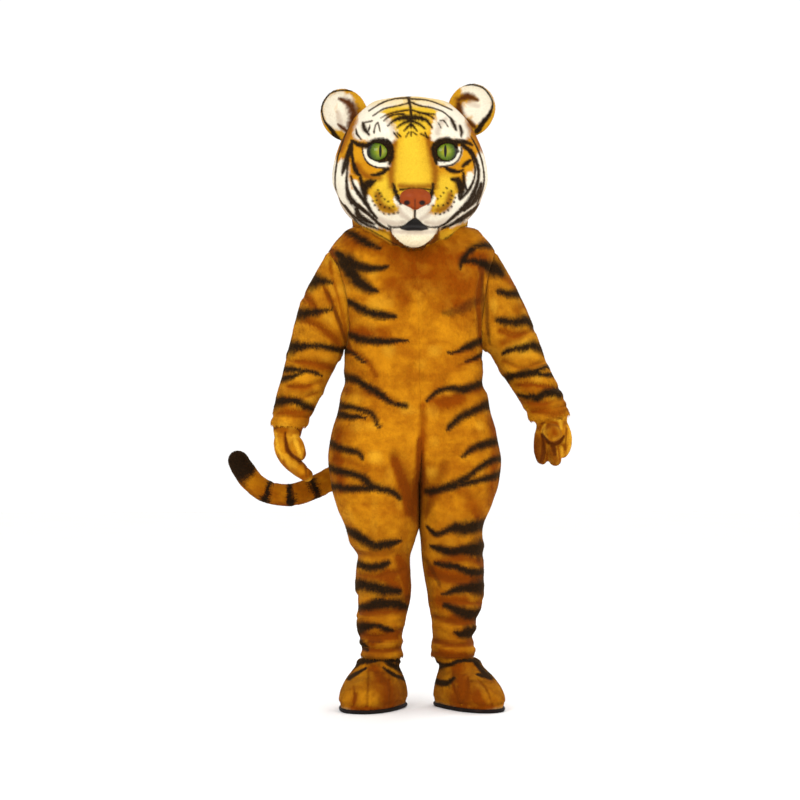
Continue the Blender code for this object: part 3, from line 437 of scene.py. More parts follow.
def plushMaterial(name, dyes, depth=0.22):
    made, tree, shader, place = newMaterial(name, plushFinish)
    masks = {key: addNode(tree, "Attribute", attribute_name=key).outputs["Fac"] for key in maskNames}
    flat = addNode(tree, "Mapping", {"Vector": place, "Scale": (1.0, 1.0, 1.2)})
    # patches of 60 mm and tufts of 4 mm
    patch = addNode(tree, "TexNoise", {"Vector": flat, "Scale": 16.0, "Detail": 3.0, "Roughness": 0.62})
    fine = addNode(tree, "TexNoise", {"Vector": place, "Scale": 260.0, "Detail": 2.0})
    lay = addNode(tree, "MapRange", {"Value": patch, "From Min": 0.36, "From Max": 0.66})
    tone = addNode(tree, "MixRGB", {"Fac": lay, "Color1": dyes["shade"], "Color2": dyes["light"]})
    tuft = addNode(tree, "MapRange", {"Value": fine, "From Min": 0.3, "From Max": 0.7,
                                      "To Min": 0.93, "To Max": 1.07})
    # the dye bites unevenly into the tufts, so its edge breaks up
    uneven = addNode(tree, "Math", {0: fine, 1: -0.5}, operation="ADD")
    ragged = addNode(tree, "Math", {0: uneven, 1: 0.35}, operation="MULTIPLY")
    # the gold layer also holds painted highlights, and the rust and stripe layers painted shade
    for key in ("gold", "cream", "rust", "stripe"):
        lifted = addNode(tree, "Math", {0: masks[key], 1: ragged}, operation="ADD")
        gate = addNode(tree, "MapRange", {"Value": masks[key], "From Min": 0.0, "From Max": 0.12})
        share = addNode(tree, "Math", {0: lifted, 1: gate}, operation="MULTIPLY", use_clamp=True)
        tone = addNode(tree, "MixRGB", {"Fac": share, "Color1": tone, "Color2": dyes[key]})
    rootShade = addNode(tree, "MapRange", {"Value": masks["tip"], "To Min": 1 - depth, "To Max": 1.08})
    light = addNode(tree, "Math", {0: rootShade, 1: tuft}, operation="MULTIPLY")
    grey = addNode(tree, "CombineColor", {0: light, 1: light, 2: light})
    final = addNode(tree, "MixRGB", {"Fac": 1.0, "Color1": tone, "Color2": grey}, blend_type="MULTIPLY")
    finishSurface(tree, shader, final, fine, 0.35, 0.001)
    return made


# the rust and stripe dyes also colour painted shade, and the gold dye painted highlights
suitPlush = plushMaterial("airbrushedShortPlush", {
    "light": "#CB8410", "shade": "#A66008", "rust": "#883E01", "gold": "#DDA024", "cream": "#E0CFA0",
    "stripe": "#20150A"})
facePlush = plushMaterial("airbrushedFacePlush", {
    "light": "#CE9118", "shade": "#BE7C10", "rust": "#824208", "gold": "#DDB52E", "cream": "#ECE5D0",
    "stripe": "#1E140B"}, 0.14)


# The suit: four panels from neck to hem
suit = {
    "under": 0.0025,             # backing lies this far inside the pile's tips
    "wall": 0.0045,
    "seam": 0.00015,
    "crotch": 0.662,
    "hem": 0.150,
    "grooveTop": 0.812,
    "legGap": 0.0008,
    "armhole": (1.217, 0.150, 0.086),   # middle, half height, half depth
    "neck": 1.443,
    "columns": 48,
    "rows": (129, 66, 15),       # below, beside and above the armhole
    "lumps": ((0.0011, 0.075, 1), (0.0006, 0.03, 2)),
    "hemRolls": ((0.002, 0.008, 0.007), (-0.0022, 0.026, 0.004)),   # rise, height over the hem, half reach
    "wobble": ((0.26, 0.011, 5), (0.12, 0.005, 6)),                 # how a painted edge wavers
    "patches": ((0.20, 0.07, 7), (0.17, 0.028, 8), (0.10, 0.012, 9)),   # uneven rust dye
    "seed": {False: 4, True: 3},                                    # the front's and the back's pile
    "coat": {"length": 0.0070, "width": 0.0021, "rise": 7.0, "room": 7.0, "most": 60000},
}
suitRows = table("height lean right left front back mid pitch", """
    1.4430 -0.0120 0.105 0.106 0.076 0.086 0.42 80
    1.4395 -0.0120 0.150 0.152 0.090 0.097 0.42 74
    1.4330 -0.0120 0.189 0.192 0.104 0.108 0.42 58
    1.4100 -0.0117 0.216 0.216 0.118 0.118 0.42 46
    1.3860 -0.0110 0.238 0.236 0.129 0.124 0.42 40
    1.3620 -0.0105 0.253 0.248 0.137 0.129 0.42 24
    1.3120 -0.0080 0.243 0.239 0.146 0.133 0.42 6
    1.2180 -0.0050 0.227 0.224 0.155 0.137 0.42 0
    1.1220 -0.0030 0.215 0.207 0.156 0.134 0.42 0
    1.0260 -0.0010 0.215 0.202 0.152 0.128 0.42 0
    0.9780  0.0000 0.216 0.201 0.151 0.127 0.42 0
    0.9300  0.0013 0.229 0.215 0.153 0.131 0.42 0
    0.8820  0.0030 0.240 0.222 0.156 0.137 0.43 0
    0.8340  0.0045 0.256 0.235 0.160 0.144 0.44 0
    0.7860  0.0060 0.267 0.243 0.162 0.150 0.45 0
    0.7380  0.0075 0.273 0.250 0.161 0.153 0.46 0
    0.6900  0.0085 0.269 0.244 0.157 0.152 0.48 0
    0.6420  0.0090 0.261 0.234 0.150 0.148 0.50 0
    0.5940  0.0090 0.246 0.216 0.141 0.141 0.50 0
    0.5460  0.0090 0.225 0.195 0.131 0.133 0.50 0
    0.4980  0.0090 0.210 0.192 0.121 0.125 0.50 0
    0.4500  0.0090 0.189 0.198 0.113 0.119 0.50 0
    0.4020  0.0090 0.192 0.198 0.106 0.114 0.50 0
    0.3540  0.0090 0.193 0.198 0.101 0.110 0.50 0
    0.3060  0.0085 0.183 0.194 0.096 0.106 0.50 0
    0.2580  0.0080 0.185 0.175 0.092 0.102 0.50 0
    0.2100  0.0070 0.184 0.170 0.089 0.100 0.50 0
    0.1780  0.0060 0.172 0.172 0.086 0.097 0.50 0
    0.1500  0.0060 0.172 0.172 0.086 0.096 0.50 0
""")
inseamRows = table("height right left", """
    0.682 0.0    0.0
    0.542 0.0    0.0
    0.506 0.0080 0.0030
    0.450 0.0240 0.0070
    0.402 0.0240 0.0120
    0.354 0.0215 0.0210
    0.306 0.0265 0.0275
    0.258 0.0380 0.0370
    0.210 0.0460 0.0410
    0.178 0.0460 0.0390
    0.150 0.0440 0.0380
""")
# Big folds: side, height, place, half reach up and round, slope, and rise
bigFolds = np.array([
    (0, 1.312, 0.40, 0.012, 0.060, -0.5, -0.006), (0, 1.132, 0.42, 0.030, 0.060, 0.6, -0.007),
    (0, 1.002, 0.50, 0.016, 0.220, 0.1, 0.003), (0, 0.967, 0.50, 0.014, 0.200, -0.1, -0.0025),
    (1, 0.622, 0.30, 0.018, 0.150, 0.3, -0.006), (-1, 0.607, 0.30, 0.018, 0.150, 0.3, -0.006),
    (0, 0.482, 0.30, 0.014, 0.200, 0.15, 0.005), (0, 0.454, 0.35, 0.014, 0.220, -0.1, -0.006),
    (1, 0.327, 0.60, 0.014, 0.300, 0.1, -0.005), (-1, 0.334, 0.60, 0.014, 0.300, -0.1, -0.005),
    (0, 0.244, 0.30, 0.012, 0.300, 0.05, 0.005), (0, 0.208, 0.40, 0.010, 0.400, -0.05, -0.006)])


def quarter(start, end, angle):  # a slightly squared quarter round between two points of a cross section
    c = np.maximum(np.cos(angle), 0) ** 0.9
    s = np.maximum(np.sin(angle), 0) ** 0.9
    return end[0] + (start[0] - end[0]) * c, start[1] + (end[1] - start[1]) * s


def suitSurface(name, height, place, inset, seam=suit["seam"]):
    # place runs round the half body: 0 centre front or inseam, 0.5 side seam, 1 centre back
    side = sides[name]
    height, place = np.broadcast_arrays(np.asarray(height, float), np.asarray(place, float))
    row = readAt(suitRows, "height", height)
    pitch = np.radians(row["pitch"])
    inward = inset * np.cos(pitch)
    half = row[name] - inward
    crotch = suit["crotch"] + inset
    depth = np.where(place <= 0.5, row["front"], row["back"]) - inward
    u = np.clip((suit["grooveTop"] - height) / (suit["grooveTop"] - crotch), 0, 1)
    share = 1 - u * u
    touching = soften((height - 0.500) / 0.050)   # high up the two legs press on each other
    legs = np.maximum(readAt(inseamRows, "height", height)[name], suit["legGap"] / 2)
    legs = legs + np.maximum(inward - suit["under"] * touching, 0)
    startX = np.where(height <= crotch, legs, seam)
    middle = startX + (half - startX) * row["mid"]
    start = (startX, np.maximum((depth - 0.003) * share, seam))
    top = (middle, depth)
    p = np.where(place <= 0.5, place, 1 - place)
    x1, y1 = quarter(start, top, np.minimum(p, 0.25) / 0.25 * math.pi / 2)
    centre, halfTall, halfDeep = suit["armhole"]
    v = (height - centre) / halfTall
    edge = np.where(np.abs(v) < 0.9999, halfDeep * np.sqrt(np.maximum(1 - v * v, 0)), 0.0)
    last = np.arcsin(np.minimum(edge / depth, 1) ** (1 / 0.9))
    x2, y2 = quarter((half, seam), top, math.pi / 2 + (last - math.pi / 2) * np.maximum(p - 0.25, 0) / 0.25)
    x, y = np.where(p <= 0.25, x1, x2), np.where(p <= 0.25, y1, y2)
    rise = np.zeros(height.shape)
    for foldSide, foldHeight, foldPlace, tall, wide, slope, out in bigFolds:
        if foldSide in (0, side):
            dh = (height - foldHeight - slope * 0.1 * (place - foldPlace)) / tall
            rise = rise + out * np.exp(-dh * dh - ((place - foldPlace) / wide) ** 2)
    outX = np.where(x > middle, x - middle, (x - middle) * (1 - share))
    length = np.maximum(np.hypot(outX, y), 1e-9)
    x = np.maximum(x + rise * outX / length, startX)
    y = np.maximum(y + rise * y / length, seam)
    y = np.where(place <= 0.5, -y, y)
    return np.stack([row["lean"] + side * x, y, height - inset * np.sin(pitch) - shoulder], axis=-1)


def evenHeights(low, high, count):  # rows an equal walk apart down the suit's slope
    fine = np.linspace(low, high, 800)
    read = readAt(suitRows, "height", fine)
    out = np.maximum(np.abs(np.diff(read["left"])), np.abs(np.diff(read["front"])))
    return evenWalk(np.sqrt(np.diff(fine)**2 + out**2), fine, count + 1)


def suitHeights():               # the panels' rows, closer where the armhole turns
    centre, halfTall, _ = suit["armhole"]
    below, beside, above = suit["rows"]
    rows = evenHeights(suit["hem"], centre - halfTall, below)[:-1]
    rows = np.concatenate([rows, centre - halfTall * np.cos(np.linspace(0, math.pi, beside + 1))[:-1]])
    return np.concatenate([rows, evenHeights(centre + halfTall, suit["neck"], above)])[::-1]


suitStripes = strokes("""
    345 230 1.5 356 236 3.5 368 243 3.5 380 248 1.5
    337 253 3 350 262 6 362 267 4.5 376 268 3 388 266 1.5
    341 262 5 350 270 6 358 281 6 370 288 4 378 291 1.2
    345 299 1.5 352 303 3.5 362 309 3.5 378 314 4 395 316 2
    347 332 1.5 355 337 3.5 370 340 3.5 385 341 3 400 340 1.8 408 340 0.8
    343 350 2.5 353 353 2 360 359 1.6 367 363 0.9
    342 376 4.5 355 379 3.5 365 385 3.2 378 392 3.5 388 400 2.5 398 404 2.2 406 405 2.5
    338 405 3.5 352 407 2.6 362 409 2.2 370 412 2.2 375 418 2.2 379 427 1.5
    336 413 3.5 350 416 3 358 416 2 366 418 0.9
    328 441 3.5 338 447 3.2 350 450 3.2 358 452 2.6 363 458 1.5
    327 466 3 338 470 3.2 350 473 3.2 362 477 3.6 370 484 3.2 382 489 3.2 392 491 3 400 498 2
    329 485 3.5 345 488 3.3 360 488 3.2 372 488 2.5 380 488 1.2
    493 245 3 482 245 3 474 247 3 468 253 2.8 462 261 2.6 460 268 1.2
    462 262 1.5 472 260 2.2 480 262 3 488 266 5 497 272 6
    485 339 3 470 345 3.2 462 349 2.2 455 352 1.6 448 352 1
    484 353 2.2 475 358 2 466 361 1
    487 380 3.6 474 386 3.5 462 389 3.5 450 388 2.6 440 390 2.2 430 397 1.6 426 401 1
    492 403 5.5 480 407 3.6 470 412 3.6 462 416 3.2 452 424 3 448 429 1.4
    499 440 3.4 488 443 3.6 478 446 3.6 470 450 2.6 462 456 1.4
    504 457 3.4 492 460 3.2 480 467 2.8 468 476 2.8 455 483 3.2 440 489 3.6 427 491 3.2
    504 472 4 490 477 3.2 475 481 2.8 462 484 2.6 450 488 2.6 430 492 3
    343 527 2.5 354 533 3.6 365 540 4.2 375 545 3.8 385 544 3.6 394 542 2.8 401 540 1.2
    353 561 3 363 565 3.2 372 567 3.2 382 565 3.2 390 562 1.5
    353 584 5 365 585 4.8 375 587 4.6 388 590 4.6 399 591 2.6
    358 607 3 368 606 3.6 378 603 4.6 390 603 4.2 400 604 4.2 408 607 2.2
    355 628 6.5 363 627 4.4 372 625 2.6 380 626 2.2 388 629 2.6 394 630 1
    359 640 2.5 364 646 3 368 650 1
    486 524 5.2 475 526 5.2 465 528 5.6 455 527 4.2 445 531 2.6 437 534 2.6 432 531 2 427 526 1
    486 548 10 476 549 6.4 465 549 4.2 455 551 3.6 445 550 3.6 435 547 2.2 430 546 1
    486 571 3.6 475 572 3.6 465 570 3.2 455 566 2.6 445 565 2.6 435 563 1.5
    486 585 9 475 587 5.6 465 588 4.2 455 590 3.2 447 593 2 442 594 1
    486 612 5.2 475 614 5.2 465 613 4.6 455 609 3.6 445 605 2
    480 630 6.2 470 632 5.2 463 634 3.6 455 632 1.5
""")
# painted shade: soft dark smears along the armholes' creases, the legs' folds and under the hems
suitShadeSmears = strokes("""
    480 256 1.2 482 272 1.8 482 290 2 483 310 2 485 330 1.8 487 343 1.2
    331 252 1 329 266 1.2 333 285 1.6 339 305 1.8 344 325 1.8 347 345 1.2
    422 555 1.5 430 566 2.6 440 585 1.8
    484 297 2.5 472 303 5 462 309 5 450 312 3.6 443 312 2
    393 597 3 402 598 4 410 597 4
    485 578 2 470 581 2
    368 641 2 380 641 2
    362 657 3 385 660 3 402 657 3
    436 659 3 455 661 3 476 658 3
""")
# rust dye, with painted shade along the centre seam, in the crotch, at the armholes and down the sides
suitRustAndShade = strokes("""
    366 244 8 390 250 14 415 256 18 445 256 20 475 258 12
    398 264 16 430 276 22 456 284 24 460 300 18
    347 240 9 365 246 8 382 250 8
    395 282 12 405 300 8
    358 331 7 385 334 7
    423 405 3 423 430 4 421 455 4 420 480 5 416 500 5
    394 460 3.5 400 477 4.5 406 494 4.5 409 512 3.5
    462 490 8 470 502 9 477 515 4
    334 256 7 334 290 6 344 330 6
    398 558 4 405 572 5 408 600 4
    388 578 7 398 588 5
    372 642 3 395 637 3
    432 570 5 448 574 6 468 579 6
    438 600 7 462 599 6
    452 617 4 470 621 4
    440 652 3 464 654 3
    432 400 5 444 402 7 458 400 6
    340 430 5 338 460 5 340 490 5
    492 420 5 496 450 5 492 500 6
""")
# Folds: rise in mm, then where they run
suitFolds = strokes("""
    -6 330 250 3 329 275 3 333 300 3 342 325 3 348 347 3
    3 333 262 3 335 285 3 341 310 3 346 335 2.5
    -4 336 272 2.5 341 290 2.5 345 310 2.5 350 335 2.5
    -6 483 258 3 480 285 3 478 300 3 480 325 3 483 345 3
    3 478 275 3 474 298 3 475 325 3
    -4 350 351 3 364 357 3 376 376 3
    3 352 360 5 364 366 4 370 378 3
    -4 483 357 3 470 361 3 458 366 2
    -3 470 350 2 452 354 2.5
    -3 346 390 4 372 394 5 392 400 4
    -3 484 388 4 460 396 5 440 402 4
    -5 419 440 3 420 470 4 419 500 5 417 520 4
    -5 393 455 7 403 480 9 411 510 7
    -4 445 465 7 434 490 8 426 510 6
    3 375 455 12 388 485 12 398 510 9
    -3 334 460 3 352 462 4 368 470 3
    -3 349 550 4 366 554 4 394 550 4
    2.5 348 540 5 370 546 5 398 542 4
    -4 357 574 3.5 378 576 4 402 571 3
    4 356 590 4 378 594 4 404 598 4
    -5 359 612 4 380 612 4 405 610 4
    4 358 620 4 378 622 4 402 618 3
    -6 358 634 3.5 378 637 4 402 630 3.5
    4 361 641 3.5 380 644 4 403 640 3
    -5 362 648 3 384 651 3.5 403 647 3
    -4 484 563 4 462 558 4 438 561 3.5
    2.5 485 545 5 460 540 5 432 543 4
    -5 484 578 3.5 456 581 4 430 574 3
    3 483 595 4 460 600 4 434 596 3
    -5 480 603 3 458 601 3.5 440 600 3
    -6 478 621 4 455 622 4 434 616 3
    4 478 628 4 456 630 4 434 626 3
    -6 477 642 3.5 455 645 4 433 640 3
    4 477 648 3 455 651 3.5 432 647 3
    -5 476 655 3 450 657 3 432 653 3
""", 1)
# Stripes, smears of painted shade, rust with painted shade, and folds, in front and behind
suitPaint = {False: (suitStripes, suitShadeSmears, suitRustAndShade, suitFolds),
             True: (roundTheBack(suitStripes, 11), roundTheBack(suitShadeSmears, 12), roundTheBack(suitRustAndShade, 13),
                    roundTheBack(suitFolds, 21, 8.0))}


def foldsOn(grid, sets, back):   # the folds' rise over a grid, from the front's strokes or the back's
    spots = planOf(grid.reshape(-1, 3))
    rise = np.where(back, layFolds(spots, sets[True][3]), layFolds(spots, sets[False][3]))
    return rise.reshape(grid.shape[:2])


def paintCloth(points, sets):    # masks from one set of strokes
    stripes, shadeSmears, rustAndShadeStrokes, folds = sets
    spots = planOf(points)
    legs = soften((spots[:, 1] - 500) / 40)
    wobble = lumpy(points, suit["wobble"])
    stripe = layStrokes(spots, stripes, 1.7, wobble + 0.24 + 0.14 * legs + 0.25 * (spots[:, 1] > 656))
    # painted shade along the creases, half as dark as a stripe
    stripe = np.maximum(stripe, 0.5 * layStrokes(spots, shadeSmears, 1.3, wobble))
    rise = layFolds(spots, folds)
    # painted shade: the folds' creases are darkened, in the rust colour here and in the stripe colour below;
    # the legs are darker too
    crease = np.clip(-rise * 130, 0, 0.6)
    # rust strokes, partly painted shade
    rust = 0.92 * layStrokes(spots, rustAndShadeStrokes, 1.9, wobble)
    rust = np.maximum(rust, 0.55 * layStrokes(spots, stripes, 2.6, wobble))  # dye bleeds round a stripe
    rust = rust + 0.14 * legs + crease
    for strength, size, seed in suit["patches"]:
        rust = rust + strength * lumps(points, size, seed)
    # gold: random lighter patches, and painted highlights along the folds' ridges
    gold = np.clip(0.9 * lumps(points, 0.045, 10) - 0.15 + rise * 60, 0, 0.7) * (1 - 0.6 * legs)
    dim = 0.11 * legs + 0.30 * crease
    return {"stripe": np.maximum(stripe, dim), "rust": np.clip(rust, 0, 1), "gold": gold}


def finishCloth(label, node, outer, inner, normals, painter, coat, flow, seed,
                material=suitPlush, rise=None, wrap=True, step=3, keep=None):
    # one piece of cloth from its two grids: wall, paint and pile, in place of its CAD part
    verts, normals = outer.reshape(-1, 3), normals.reshape(-1, 3)
    tris = trianglesOf(outer, wrap)
    masks = painter(verts, normals)
    if rise is not None:         # painted shade: the creases are darker, in the rust colour
        masks["rust"] = np.clip(masks["rust"] + np.clip(-rise.ravel() * 70, 0, 0.5), 0, 1)
    masks["tip"] = np.full(len(verts), 0.45)
    piece = addObject(label, wallMesh(label, outer, inner, step, wrap, masks), material)
    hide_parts(node)
    pile = growPile(label + "Pile", verts, normals, tris, painter, coat, material, flow, seed, keep)
    print(label, "area", round(float(areaOf(verts, tris).sum()), 3), "pile", len(pile.data.polygons))
    return verts, tris


def offTheZip(root):             # no pile under the zip's tapes
    return (np.abs(root[:, 0] + 0.011) > 0.0135) | (root[:, 2] > 0.030) | (root[:, 2] < -0.460)


def addPanel(name, back):
    places = np.linspace(0, 0.5, suit["columns"] + 1)
    if back:
        places = 1 - places
        places[-1] = 0.5 + 1e-7  # beside the side seam, still on the back
    heights = suitHeights()[:, None]
    outer = suitSurface(name, heights, places, suit["under"])
    inner = suitSurface(name, heights, places, suit["under"] + suit["wall"])
    normals = gridNormals(outer, False)
    if normals[100, 24, 1] * (1 if back else -1) < 0:
        normals = -normals
    rise = foldsOn(outer, suitPaint, back)
    rise += lumpy(outer, suit["lumps"])
    fromSeam = 1 - places if back else places
    hold = soften(fromSeam / 0.04) * soften((0.5 - fromSeam) / 0.02 + 0.15)  # seams stay where they are sewn
    rise = rise * hold
    for out, over, reach in suit["hemRolls"]:
        rise = rise + out * np.exp(-((heights - suit["hem"] - over) / reach)**2)
    shift = normals * rise[..., None]
    shift[..., 0] = np.where(np.abs(outer[..., 0] - 0.006) < 0.012, 0, shift[..., 0])
    outer, inner = outer + shift, inner + shift
    final = gridNormals(outer, False)
    side = np.sign((final * normals).sum(axis=-1, keepdims=True))
    label = ("back" if back else "front") + name.capitalize() + "Panel"
    return finishCloth(label, ("back_" if back else "front_") + name, outer, inner,
                       final * np.where(side == 0, 1, side), lambda p, n: paintCloth(p, suitPaint[back]),
                       suit["coat"], downwards, suit["seed"][back], rise=rise, wrap=False,
                       keep=offTheZip if back else None)


panels = [addPanel(name, back) for name in sides for back in (False, True)]
print("suit panels ready")


# Sleeves: tubes from the armhole to the wrist
sleeve = {
    "under": 0.0025,
    "wall": 0.0045,
    "round": 96,
    "long": 75,
    "turnIn": (0.005, 0.0015),   # the armhole's seam: towards the body and all round
    "lumps": ((0.0014, 0.06, 3), (0.0007, 0.025, 4)),
    "hemRolls": ((0.0022, 2, 1.5), (-0.0026, 6, 1.2)),   # rise, rows before the hem, half reach in rows
    "seed": {"right": 42, "left": 41},
    "coat": {"length": 0.0085, "width": 0.0024, "rise": 7.0, "room": 7.0, "most": 34000},
}
sleeveRows = {                   # inner X and height, outer X and height, middle's Y, half depth
    "right": np.array([
        (0.219, 1.053, 0.312, 1.282, 0.000, 0.098), (0.225, 1.042, 0.348, 1.210, -0.002, 0.094),
        (0.234, 1.030, 0.371, 1.122, -0.004, 0.086), (0.249, 1.002, 0.390, 1.048, -0.008, 0.080),
        (0.264, 0.972, 0.404, 0.990, -0.012, 0.076), (0.285, 0.927, 0.420, 0.936, -0.018, 0.070),
        (0.306, 0.882, 0.432, 0.886, -0.024, 0.064), (0.329, 0.838, 0.438, 0.844, -0.030, 0.057)]),
    "left": np.array([
        (0.207, 1.063, 0.281, 1.298, 0.000, 0.098), (0.215, 1.060, 0.318, 1.226, -0.002, 0.094),
        (0.226, 1.050, 0.350, 1.152, -0.004, 0.086), (0.243, 1.020, 0.375, 1.082, -0.008, 0.080),
        (0.263, 0.988, 0.399, 1.020, -0.012, 0.076), (0.291, 0.945, 0.427, 0.968, -0.018, 0.070),
        (0.318, 0.898, 0.449, 0.918, -0.024, 0.064), (0.340, 0.854, 0.462, 0.874, -0.030, 0.058)]),
}


def sleeveRing(name, index, inset, count):  # 0 is the armhole, the last is the hem
    side, angle = sides[name], ringAngles(count)
    if index == 0:
        centre, halfTall, _ = suit["armhole"]
        heights = centre + halfTall * np.cos(angle)
        places = np.where(np.sin(angle) > -1e-6, 0.5, 0.5 + 1e-7)
        ring = suitSurface(name, heights, places, 0.0)
        ring -= inset * np.stack([0 * angle, -np.sin(angle), np.cos(angle)], axis=1)
        ring[:, 0] += side * 0.0005
        ring[[0, count // 2], 1] = 0.0
        return ring
    row = sleeveRows[name][int(index) - 1]
    part = index - int(index)
    if part:
        row = row * (1 - part) + sleeveRows[name][int(index)] * part
    inner = np.array([side * row[0], row[4], row[1] - shoulder])
    outer = np.array([side * row[2], row[4], row[3] - shoulder])
    across = (outer - inner) / 2
    across *= 1 - inset / np.linalg.norm(across)
    depth = row[5] - inset
    return ((inner + outer) / 2 + across * np.cos(angle)[:, None]
            - np.array([0, depth, 0]) * np.sin(angle)[:, None])


sleeveStripes = strokes("""
    304 281 7 311 280 7 318 280 5 328 281 2.6 332 282 1.2
    292 315 5 297 314 5 306 312 4 318 311 3 328 309 1.6 333 308 0.8
    284 347 7 290 346 6 297 346 4.5 310 345 2.6 325 346 2.6 338 349 3 347 350 2.4
    280 368 3.4 293 369 2.4 305 370 1.6 315 372 1.6 322 375 1
    279 379 3 288 377 2.6 295 375 1.8 303 372 1.2 310 370 0.8
    270 402 6 278 401 5 285 400 3.6 297 401 3.2 305 405 3.4 312 408 3
    486 266 6 494 268 7 501 273 4
    499 291 2.4 508 293 3.4 518 293 4 524 295 4.5
    498 319 2.4 508 321 4 518 321 4.2 528 320 4.6 536 324 5.4
    503 353 1.5 508 350 2.4 515 348 2.6 522 347 3 533 345 4 545 350 4.2
    507 377 4.2 516 375 3 526 373 3.4 534 372 3 542 374 1.8 556 374 2.6
    526 373 2.4 534 371 2 543 367 1.6 552 364 2.2
    518 394 1.5 525 396 2.6 531 396 3 538 397 3.2 548 392 3.6 564 392 5
""")
# painted shade along the armholes' creases
sleeveShadeSmears = strokes("""
    487 274 1 486.5 295 1.6 487 315 1.8 488 332 1.6 490 344 1
    325 288 1 329.5 297 1.6 335 310 1.8 340 323 1.8 345 338 1.4
""")
# rust dye, with painted shade along the folds and the armholes' creases
sleeveRustAndShade = strokes("""
    304 292 5 312 304 5
    325 288 1.5 331 299 2.4 338 315 2.4 346 340 2.4
    331 254 1.2 331 270 1.8 336 290 2 342 312 2 347 334 2
    308 317 4 322 326 6 336 340 6 343 346 4
    298 361 4 315 364 6 331 366 5
    293 385 4 310 391 5
    285 409 6 303 415 6 315 411 4
    513 283 4 504 277 4
    531 299 4 518 309 5
    503 330 5 520 334 6 502 342 5
    524 386 4 535 390 5 549 388 4
    533 405 6 555 411 6 566 404 4
""")
sleeveFolds = strokes("""
    -5 487 276 1.5 486.5 295 2.2 487 315 2.2 488 335 2
    3.5 493 282 3 494 300 3 495 318 3
    -7 324 286 1.5 328 294 2.4 334 306 2.4 340 322 2.4 346 340 2
    4 329 280 3 334 292 3 340 308 3 345 326 2.5
    -4 304 296 3 312 303 3 320 312 3
    -5 302 321 3 318 326 3 338 342 3
    4 300 329 4 318 334 4 332 345 3
    -4 290 360 3 312 362 3 332 368 3
    3 288 354 4 310 355 4 334 360 3
    -4 288 386 3 305 386 3 322 381 3
    3 286 392 3 302 393 3 318 388 3
    -4 282 397 2.5 300 398 2.5 317 392 2.5
    -3 278 413 3 300 411 3 314 405 2.5
    -4 500 331 3 515 335 3 533 330 3
    -4 503 361 3 520 368 3 541 362 3
    4 506 368 4 522 374 4 545 368 3
    -5 516 385 3 535 384 3 558 388 3
    3 520 391 3 540 391 3 560 396 3
    -4 520 401 3 540 403 3 563 399 3
    -3 533 412 3 556 414 3 566 411 2.5
""", 1)
sleevePaint = {False: (sleeveStripes, sleeveShadeSmears, sleeveRustAndShade, sleeveFolds),
               True: (roundTheBack(sleeveStripes, 31, 3.0), [], roundTheBack(sleeveRustAndShade, 32, 3.0),
                      roundTheBack(sleeveFolds, 33, 4.0))}


def paintRound(points, normals, sets):  # front strokes on what faces forwards, back strokes behind
    back = facesBack(normals)
    masks = {}
    for behind in (False, True):
        some = back == behind
        for key, values in paintCloth(points[some], sets[behind]).items():
            masks.setdefault(key, np.zeros(len(points)))[some] = values
    return masks


def paintSleeve(points, normals):  # the arms are a little paler than the body
    masks = paintRound(points, normals, sleevePaint)
    masks["rust"] = masks["rust"] * 0.82
    masks["gold"] = np.clip(masks["gold"] + 0.14, 0, 1)
    return masks


def addSleeve(name):
    stations = np.stack([sleeveRing(name, k, sleeve["under"], sleeve["round"]) for k in range(9)])
    outer = throughPoints(stations, sleeve["long"])
    aside, about = sleeve["turnIn"]
    outer[0] -= np.array([sides[name] * aside, 0, 0]) + unit(outer[0] - outer[0].mean(axis=0)) * about
    middle = outer.mean(axis=1, keepdims=True)
    normals = outwardNormals(outer, middle)
    rise = foldsOn(outer, sleevePaint, facesBack(normals.reshape(-1, 3)))
    rise += lumpy(outer, sleeve["lumps"])
    walk = np.arange(sleeve["long"] + 1)[:, None]
    rise = rise * soften((walk - 1) / 8)                         # the folds start past the seam
    for out, before, reach in sleeve["hemRolls"]:
        rise = rise + out * np.exp(-((walk - sleeve["long"] + before) / reach)**2)
    outer = outer + normals * rise[..., None]
    normals = outwardNormals(outer, middle)
    finishCloth("sleeve" + name.capitalize(), "sleeve_" + name, outer,
                outer - normals * sleeve["wall"], normals, paintSleeve, sleeve["coat"], downwards,
                sleeve["seed"][name], rise=rise)


for name in sides:
    addSleeve(name)
print("sleeves ready")


